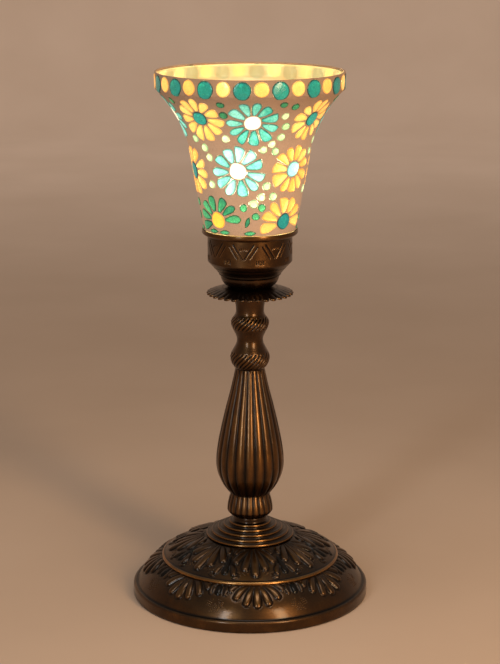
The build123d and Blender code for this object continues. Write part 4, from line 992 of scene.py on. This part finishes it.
def punch_marks(material):
    """Patches of punched marks between the leaves of one sector, repeated round the base."""
    path, lower, upper = base_outline()
    out, along = out_of(path)
    spots = []
    for row in range(8):
        spots += [("lower", (k - row / 2 + 1.5) * 1.75, 12.6 + row * 1.45) for k in range(row - 2)]
    for side in (-1, 1):
        for ring in range(3):
            spots += [("lower", side * (2.2 + 1.7 * ring + 0.3 * k), 13.2 + ring * 1.2 + 1.5 * k)
                      for k in range(5 - ring)]
            spots += [("upper", side * (11.5 + 1.6 * math.cos(0.45 * k) * (2 + ring)),
                       24.0 + 1.4 * math.sin(0.45 * k) * (2 + ring)) for k in range(6)]
    points, facing = [], []
    for tier, across, down in sorted(set(spots)):
        start, end = lower if tier == "lower" else upper
        total = along[end - 1] - along[start - 1]
        at = along[start - 1] + total - down
        radius, height = (float(np.interp(at, along, path[:, k])) for k in (0, 1))
        normal = [float(np.interp(at, along, out[:, k])) for k in (0, 1)]
        azimuth = math.radians(BASE_TURN + 180 / BASE_SECTORS) + across / radius
        east, south = math.sin(azimuth), -math.cos(azimuth)
        points.append((radius * east, radius * south, height))
        facing.append((normal[0] * east, normal[0] * south, normal[1]))
    mesh = new_mesh("punches", points, [])
    mesh.attributes.new("facing", "FLOAT_VECTOR", "POINT").data.foreach_set("vector", np.ravel(facing))
    stud = bpy.data.objects.new("punch", punch_mesh())
    made = run_tree(stud_tree(), mesh, Stud=stud, Count=BASE_SECTORS, Material=material)
    bpy.data.objects.remove(stud)
    return made


BASE = cut_round(base_mesh(BRASS), ((3.3, 4.7, 79.5), (4.0, 4.7, 88.8)))
piece("chased_base", BASE, "lamp", "base_dome", slot="antique_brass")
piece("punch_marks", punch_marks(BRASS), "lamp", "base_dome", slot="antique_brass")


# ---- stem --------------------------------------------------------------------------------------
def rounds(rows, count, columns):
    """Azimuths across one of count sectors for every row, and the place across it from -0.5 to 0.5."""
    place = np.linspace(-0.5, 0.5, columns)
    return np.broadcast_to(place * 360 / count, (rows, columns)), np.broadcast_to(place, (rows, columns))


def reed(place):
    """The height of a reed across its width, 1 on its crest and 0 in the groove."""
    return np.sqrt(np.clip(1 - (2 * np.abs(place)) ** 2 * 0.985, 0, 1))


def reeded(name, heights, radii, depth, count, columns, lean=None):
    """A turned piece from its foot to its top, cut into reeds of a depth at each height."""
    rows = len(heights) + 2
    turn, place = rounds(rows, count, columns)
    radii = np.concatenate([radii, [BORE, BORE]])
    heights = np.concatenate([heights, [heights[-1], heights[0]]])
    depth = np.concatenate([depth, [0, 0]])
    if lean is not None:
        turn = turn + np.concatenate([lean, [0, 0]])[:, None]
    crest = reed(place)
    radius = radii[:, None] - depth[:, None] * (1 - crest)
    wear_and_sheen = np.where(depth[:, None] > 0.05, -1.0 + 1.45 * crest ** 1.5, 0.1)
    return sector(radius, np.broadcast_to(heights[:, None], radius.shape), turn, wear_and_sheen, count, BRASS, name)


def baluster_mesh():
    """The reeded baluster, fullest low down."""
    foot, top = 79.2, 177.5
    heights = np.linspace(foot, top, 110)
    radii = hermite(((foot, 15.2, 0.95), (104.0, 25.8, 0.0), (129.7, 22.25, -0.21), (153.98, 16.48, -0.27),
                     (top, 11.0, -0.2)), heights)
    depth = 1.75 * smooth(foot - 1.5, foot + 7, heights) * (0.55 + 0.45 * smooth(top, foot + 40, heights)) \
        * smooth(top, top - 3, heights)
    return reeded("baluster", heights, radii, depth, 20, 13)


def collar_mesh():
    """The fluted collar under the baluster."""
    foot, top = 61.2, 79.2
    heights = np.concatenate([np.linspace(foot, foot + 6, 14), np.linspace(foot + 6.5, top, 16)])
    radii = hermite(((foot, 13.2, 1.67), (foot + 5.2, 17.5, 0.0), (top, 14.8, -0.25)), heights)
    depth = 1.25 * smooth(foot, foot + 2.5, heights) * smooth(top + 0.5, top - 2.0, heights)
    return reeded("collar", heights, radii, depth, 22, 11)


def column_mesh():
    """The upper column, with a rope twist round each of its two knops."""
    foot = 177.5
    top = foot + 61.5
    heights = np.linspace(foot, top, 104)
    radii = hermite(((foot, 11.0, 1.0), (foot + 8.4, 14.9, 0.0), (foot + 22.0, 9.8, 0.0), (foot + 35.4, 14.4, 0.0),
                     (foot + 43.8, 10.5, 0.0), (top, 16.0, 0.7)), heights)
    up = heights - foot
    low_rope = smooth(1.0, 2.6, up) * smooth(13.2, 11.8, up)
    high_rope = smooth(30.6, 31.8, up) * smooth(40.4, 39.2, up)
    step = heights[1] - heights[0]
    lean = np.cumsum((low_rope + high_rope) * step / np.maximum(radii, 9) * math.degrees(0.95))
    return reeded("column", heights, radii, 1.15 * np.maximum(low_rope, high_rope), 24, 9, lean)


def ring_stack_mesh():
    """Five rounded steps and a short neck."""
    outline = []
    for number, radius in enumerate((33.6, 29.7, 25.0, 20.5, 16.0)):
        low = 45.2 + number * 2.4
        outline += [(radius - 0.7, low)] + arc((radius - 0.7, low), (radius, low + 1.2), (radius - 0.7, low + 2.4), 8)
        ledge = outline[-1]
        outline += [(ledge[0] - 0.6, ledge[1] - 0.12)]
    outline += line((13.4, 57.2), (12.8, 57.6), 2) + line((12.8, 57.6), (12.8, 61.2), 3)
    outline += [(BORE, 61.2), (BORE, 45.2)]
    outline = np.array(outline)
    turn = np.linspace(0, 10, 5)
    shape = (len(outline), len(turn))
    edge = np.array([0.75 if k % 10 in (3, 4, 5, 6) else -0.45 if k % 10 in (0, 9) else 0.1
                     for k in range(len(outline))])
    edge[50:] = -0.2                # the neck and the underside
    return sector(np.broadcast_to(outline[:, :1], shape), np.broadcast_to(outline[:, 1:], shape),
                  np.broadcast_to(turn, shape), np.broadcast_to(edge[:, None], shape), 36, BRASS, "rings")


def disc_mesh():
    """The drip disc: a thin dish whose edge droops in scallops, each ribbed like a shell."""
    place = np.linspace(-0.5, 0.5, 15)
    turn = place * 360 / 32
    across = np.radians(turn) * 29.8
    edge = 29.8 + np.sqrt(np.clip(2.6 ** 2 - across ** 2, 0, None))
    share = np.linspace(0, 1, 26)
    flat, sheet = 18.0, 1.2
    top = 240.2

    def droop(radius):
        t = np.clip((radius - flat) / (34.0 - flat), 0, None)
        return top - 5.0 * t ** 1.35

    reach = BORE + (edge[None, :] - BORE) * share[:, None]
    rib = (0.45 * smooth(21, 28, reach) * (reed(place)[None, :] - 1)
           + 0.22 * np.exp(-((reach - 20.5) / 0.7) ** 2))
    upper = np.minimum(droop(reach) + rib, top)
    lip = edge[None, :] + np.zeros((1, len(place)))
    lower = droop(reach) + rib * 0.6 - sheet
    radius = np.concatenate([reach, lip + 0.12, reach[::-1]])
    heights = np.concatenate([upper, (upper[-1:] + lower[-1:]) / 2, lower[::-1]])
    wear_and_sheen = np.concatenate([-0.35 + 0.3 * smooth(24, 30, reach) * (reed(place)[None, :]), np.full_like(lip, 0.45),
                           np.full_like(reach, -0.4)])
    order = slice(None, None, -1)
    return sector(radius[order], heights[order], np.broadcast_to(turn, radius.shape), wear_and_sheen[order], 32, BRASS, "disc")


def cup_mesh():
    """The shade cup: a bowl, a shoulder and an upright wall chased with chevrons, with a thin flared lip."""
    top = 240.2
    foot, bowl, bead = (15.0, top), (22.0, top + 9.3), (23.2, top + 10.5)
    shoulder = (31.5, top + 19.9)
    wall = (31.5, top + 39.1)
    path = [(BORE, top), foot] + arc(foot, bowed(bowl, foot, 1.92), bowl, 9)
    path += arc(bowl, (23.25, top + 9.6), bead, 4) + line(bead, shoulder, 12)
    first = len(path)
    path += line(shoulder, wall, 46)
    last = len(path)
    path += arc(wall, bowed((35.6, top + 41.3), wall, 0.6), (35.6, top + 41.3), 5)
    path += line((35.6, top + 41.3), (35.6, top + 43.4), 3)
    path += arc((35.6, top + 43.4), (35.1, top + 43.9), (34.6, top + 43.4), 5)
    path += [(34.6, top + 40.3), (30.3, top + 40.3), (30.3, top + 20.3), (20.8, top + 11.1), (20.8, top + 9.3)]
    path += arc((20.8, top + 9.3), (17.5, top + 3.4), (15.0, top + 1.2), 3) + [(BORE, top + 1.2)]
    path = np.array(path)
    out, along = out_of(path)
    turn = np.linspace(-0.5, 0.5, 71) * 45
    cut = np.zeros((len(path), len(turn)))
    wear_and_sheen = np.full_like(cut, -0.05)
    rows = slice(first - 1, last)
    across = np.radians(turn)[None, :] * 31.5 + np.zeros((last - first + 1, 1))
    up = path[rows, 1:] - top + np.zeros_like(across)
    for start, end, width in chased_strokes():
        cut[rows] = np.maximum(cut[rows], stroke(across, up, start, end, width))
    wear_and_sheen[rows] = 0.12 - 1.15 * cut[rows]
    # Painted highlight: the metal just beside each chisel cut, on its side towards higher azimuth only, is made
    # brighter, as if that edge caught a lamp.
    near = np.maximum(np.roll(cut, 1, axis=1), np.roll(cut, 2, axis=1))
    wear_and_sheen[rows] += (0.55 * np.clip(near - cut, 0, 1))[rows]
    for level, depth in ((23.0, 0.35), (25.2, 0.45), (28.0, 0.3)):
        line_cut = np.exp(-((path[:, 0] - level) / 0.35) ** 2) * (np.arange(len(path)) < first)
        cut += depth * line_cut[:, None]
        wear_and_sheen -= 0.9 * line_cut[:, None]
    wear_and_sheen[last:last + 12] = 0.35
    points = path[:, None, :] - out[:, None, :] * (0.5 * cut)[:, :, None]
    turns = np.broadcast_to(turn - 9.0, cut.shape)
    return sector(points[:, :, 0], points[:, :, 1], turns, wear_and_sheen, 8, BRASS, "cup")


def chased_strokes():
    """The chisel cuts of one sector: start, end and width, across it and up the cup."""
    strokes = []
    for side in (-1, 1):
        strokes += [((side * 0.6, 26.0), (side * 7.6, 36.6), 0.62), ((side * 4.6, 26.4), (side * 10.4, 35.0), 0.5)]
        strokes += [((side * (12.37 - 1.3 * k), 21.8), (side * (12.37 - 1.3 * k), 24.9), 0.34) for k in range(3)]
    strokes += [((1.35 * k, 33.0 - 0.25 * abs(k)), (1.35 * k, 34.2 - 0.25 * abs(k)), 0.36) for k in range(-2, 3)]
    return strokes


def stroke(across, up, start, end, width):
    """How deep a tapered chisel cut is, 1 along its middle."""
    run = (end[0] - start[0], end[1] - start[1])
    size = math.hypot(*run)
    along = np.clip(((across - start[0]) * run[0] + (up - start[1]) * run[1]) / size ** 2, 0, 1)
    away = np.hypot(across - start[0] - along * run[0], up - start[1] - along * run[1])
    return smooth(1.25, 0.25, away / (width * (0.65 + 0.5 * along)))


piece("ring_steps", ring_stack_mesh(), "lamp", "ring_stack", slot="antique_brass")
piece("reeded_collar", collar_mesh(), "lamp", "foot_collar", slot="antique_brass")
piece("reeded_baluster", baluster_mesh(), "lamp", "baluster", slot="antique_brass")
piece("roped_column", column_mesh(), "lamp", "upper_column", slot="antique_brass")
piece("scalloped_disc", disc_mesh(), "lamp", "drip_disc", slot="antique_brass")
piece("chased_cup", cup_mesh(), "lamp", "shade_cup", slot="antique_brass")


# ---- bulb and lampholder -----------------------------------------------------------------------
def threaded_mesh(name, inner, outer, low, high, depth, material):
    """A thin rolled sleeve with a round thread of 3.6 mm pitch."""
    heights = np.linspace(low, high, int((high - low) / 0.3))
    turn = np.linspace(0, 360, 97)
    fade = (smooth(low, low + 1.5, heights) * smooth(high, high - 2.0, heights))[:, None]
    wave = depth * fade * (0.5 + 0.5 * np.cos(math.tau * (heights[:, None] / 3.6 - turn[None, :] / 360)))
    radius = np.concatenate([outer - wave, (inner - wave)[::-1]])
    height = np.broadcast_to(np.concatenate([heights, heights[::-1]])[:, None], radius.shape)
    return sector(radius, height, np.broadcast_to(turn, radius.shape), np.zeros_like(radius), 1, material, name)


NICKEL = plain("bulb_nickel", (0.62, 0.60, 0.56), (0.78, 0.76, 0.72), 0.4, (0.16, 0.3), 0.01, 1.0)
BRIGHT = plain("bright_brass", (0.62, 0.42, 0.15), (0.80, 0.58, 0.26), 0.4, (0.2, 0.34), 0.01, 1.0)
piece("bulb_thread", threaded_mesh("thread", 12.35, 12.9, 280.7, 302.7, 0.5, NICKEL), "bulb", "bulb_cap",
      slot="bulb_nickel")

CARRIED = {
    ("felt_pad",): plain("felt", (0.020, 0.045, 0.028), (0.045, 0.085, 0.052), 2.2, (0.9, 1.0), 0.2),
    ("base_weight",): plain("weight_iron", (0.05, 0.05, 0.05), (0.11, 0.105, 0.10), 0.6, (0.55, 0.8), 0.12, 0.8),
    ("cable_grommet", "seat_ring"):
        plain("black_rubber", (0.015, 0.015, 0.015), (0.035, 0.034, 0.033), 1.2, (0.6, 0.8)),
    ("threaded_tube", "tube_washers", "tube_nuts"):
        plain("zinc_steel", (0.50, 0.50, 0.49), (0.66, 0.66, 0.64), 0.8, (0.25, 0.45), 0.01, 1.0, (1, 1, 6)),
    ("lampholder_cap", "lampholder_shell"):
        plain("holder_brass", (0.33, 0.22, 0.09), (0.50, 0.35, 0.15), 0.5, (0.28, 0.42), 0.015, 1.0),
    ("porcelain_core",): plain("porcelain", (0.80, 0.78, 0.72), (0.90, 0.88, 0.83), 0.15, (0.12, 0.2), 0.02),
    ("terminal_screws", "screw_shell", "centre_contact"): BRIGHT,
    ("bulb_contact",): NICKEL,
    ("bulb_cap_insulator",): plain("bulb_black", (0.01, 0.01, 0.01), (0.03, 0.03, 0.032), 0.5, (0.08, 0.15)),
    ("bulb_globe",): opal_globe(),
    ("bulb_stem",): plain("clear_glass", (0.90, 0.94, 0.93), (0.96, 0.98, 0.97), 0.2, (0.03, 0.06), 0.01, 0.0,
                          (1, 1, 1), Transmission_Weight=1.0, IOR=1.5),
    ("bulb_filament",): plain("tungsten", (0.35, 0.33, 0.31), (0.55, 0.53, 0.50), 3.0, (0.3, 0.4), 0.01, 1.0,
                              (8, 1, 1)),
}
for names, material in CARRIED.items():
    for name in names:
        nodes[name].data.materials.clear()
        nodes[name].data.materials.append(material)
        nodes[name].data.polygons.foreach_set("use_smooth", [True] * len(nodes[name].data.polygons))


# ---- stage -------------------------------------------------------------------------------------
def stage_sweep():
    """A pale round floor that curves up into a low wall, far enough out for a view from any side."""
    made, tree, surface = finish("backdrop", Roughness=0.95, Emission_Strength=1.0)
    paper = noise(tree, 0.004, 3.0)
    colour = blend(tree, remap(tree, paper, 0.3, 0.7), (0.50, 0.352, 0.252), (0.54, 0.385, 0.28))
    coordinates = put(tree, "ShaderNodeTexCoord")
    away = put(tree, "ShaderNodeVectorMath", {0: coordinates.outputs["Object"]}, operation="LENGTH")
    ray = put(tree, "ShaderNodeLightPath")
    seen = calc(tree, "MAXIMUM", ray.outputs["Is Camera Ray"], calc(
        tree, "MAXIMUM", ray.outputs["Is Glossy Ray"], ray.outputs["Is Transmission Ray"]))
    fill = calc(tree, "MULTIPLY", seen, remap(tree, away.outputs["Value"], 0.4, 2.6, 0.0, 0.5, "SMOOTHSTEP"))
    tree.links.new(colour, surface.inputs["Base Color"])
    tree.links.new(times(tree, colour, fill), surface.inputs["Emission Color"])
    path = [(k * 200, 0) for k in range(1, 14)] + arc((2600, 0), (3024, 176), (3200, 600), 16) + [(3200, 1800)]
    count = 96
    points = [(0, 0, 0)] + [(r * math.cos(math.tau * k / count), r * math.sin(math.tau * k / count), z)
                            for r, z in path for k in range(count)]
    faces = [(0, 1 + k, 1 + (k + 1) % count) for k in range(count)]
    for ring in range(len(path) - 1):
        first = 1 + ring * count
        faces += [(first + k, first + count + k, first + count + (k + 1) % count, first + (k + 1) % count)
                  for k in range(count)]
    mesh = new_mesh("sweep", points, faces)
    mesh.materials.append(made)
    sweep = bpy.data.objects.new("sweep", mesh)
    bpy.context.scene.collection.objects.link(sweep)


def softbox(name, azimuth, distance, height, size, power, colour):
    """A soft lamp of a width and height, at an azimuth from the front, turned to the object's axis."""
    data = bpy.data.lights.new(name, "AREA")
    data.shape, data.energy, data.color = "RECTANGLE", power, colour
    data.size, data.size_y = size
    lamp = bpy.data.objects.new(name, data)
    place = Vector((distance * math.sin(math.radians(azimuth)), -distance * math.cos(math.radians(azimuth)), height))
    lamp.location = place
    lamp.rotation_euler = (Vector((0, 0, min(height, 0.2))) - place).to_track_quat("-Z", "Y").to_euler()
    lamp.visible_camera = False
    bpy.context.scene.collection.objects.link(lamp)


stage_sweep()
softbox("warm_strip", 32, 1.15, 0.58, (0.20, 0.82), 10.0, (1.0, 0.70, 0.40))
softbox("cool_strip", -26, 1.25, 0.58, (0.14, 0.82), 5.5, (0.92, 0.97, 1.0))
softbox("overhead", 10, 0.25, 1.5, (0.7, 0.7), 6.0, (1.0, 0.93, 0.85))

world = bpy.data.worlds.new("studio")
world.use_nodes = True
world.node_tree.nodes["Background"].inputs["Color"].default_value = (1.0, 0.90, 0.80, 1)
world.node_tree.nodes["Background"].inputs["Strength"].default_value = 0.26
bpy.context.scene.world = world

view = bpy.data.cameras.new("view")
view.lens, view.sensor_width = 100.1, 36.0
view.clip_start, view.clip_end = 0.05, 30.0
camera = bpy.data.objects.new("view", view)
camera.location = (0.0, -1.34687, 0.53167)
camera.rotation_euler = (math.radians(90 - 13.638), 0.0, 0.0)
bpy.context.scene.collection.objects.link(camera)
bpy.context.scene.camera = camera
bpy.context.scene.view_settings.view_transform = "Standard"
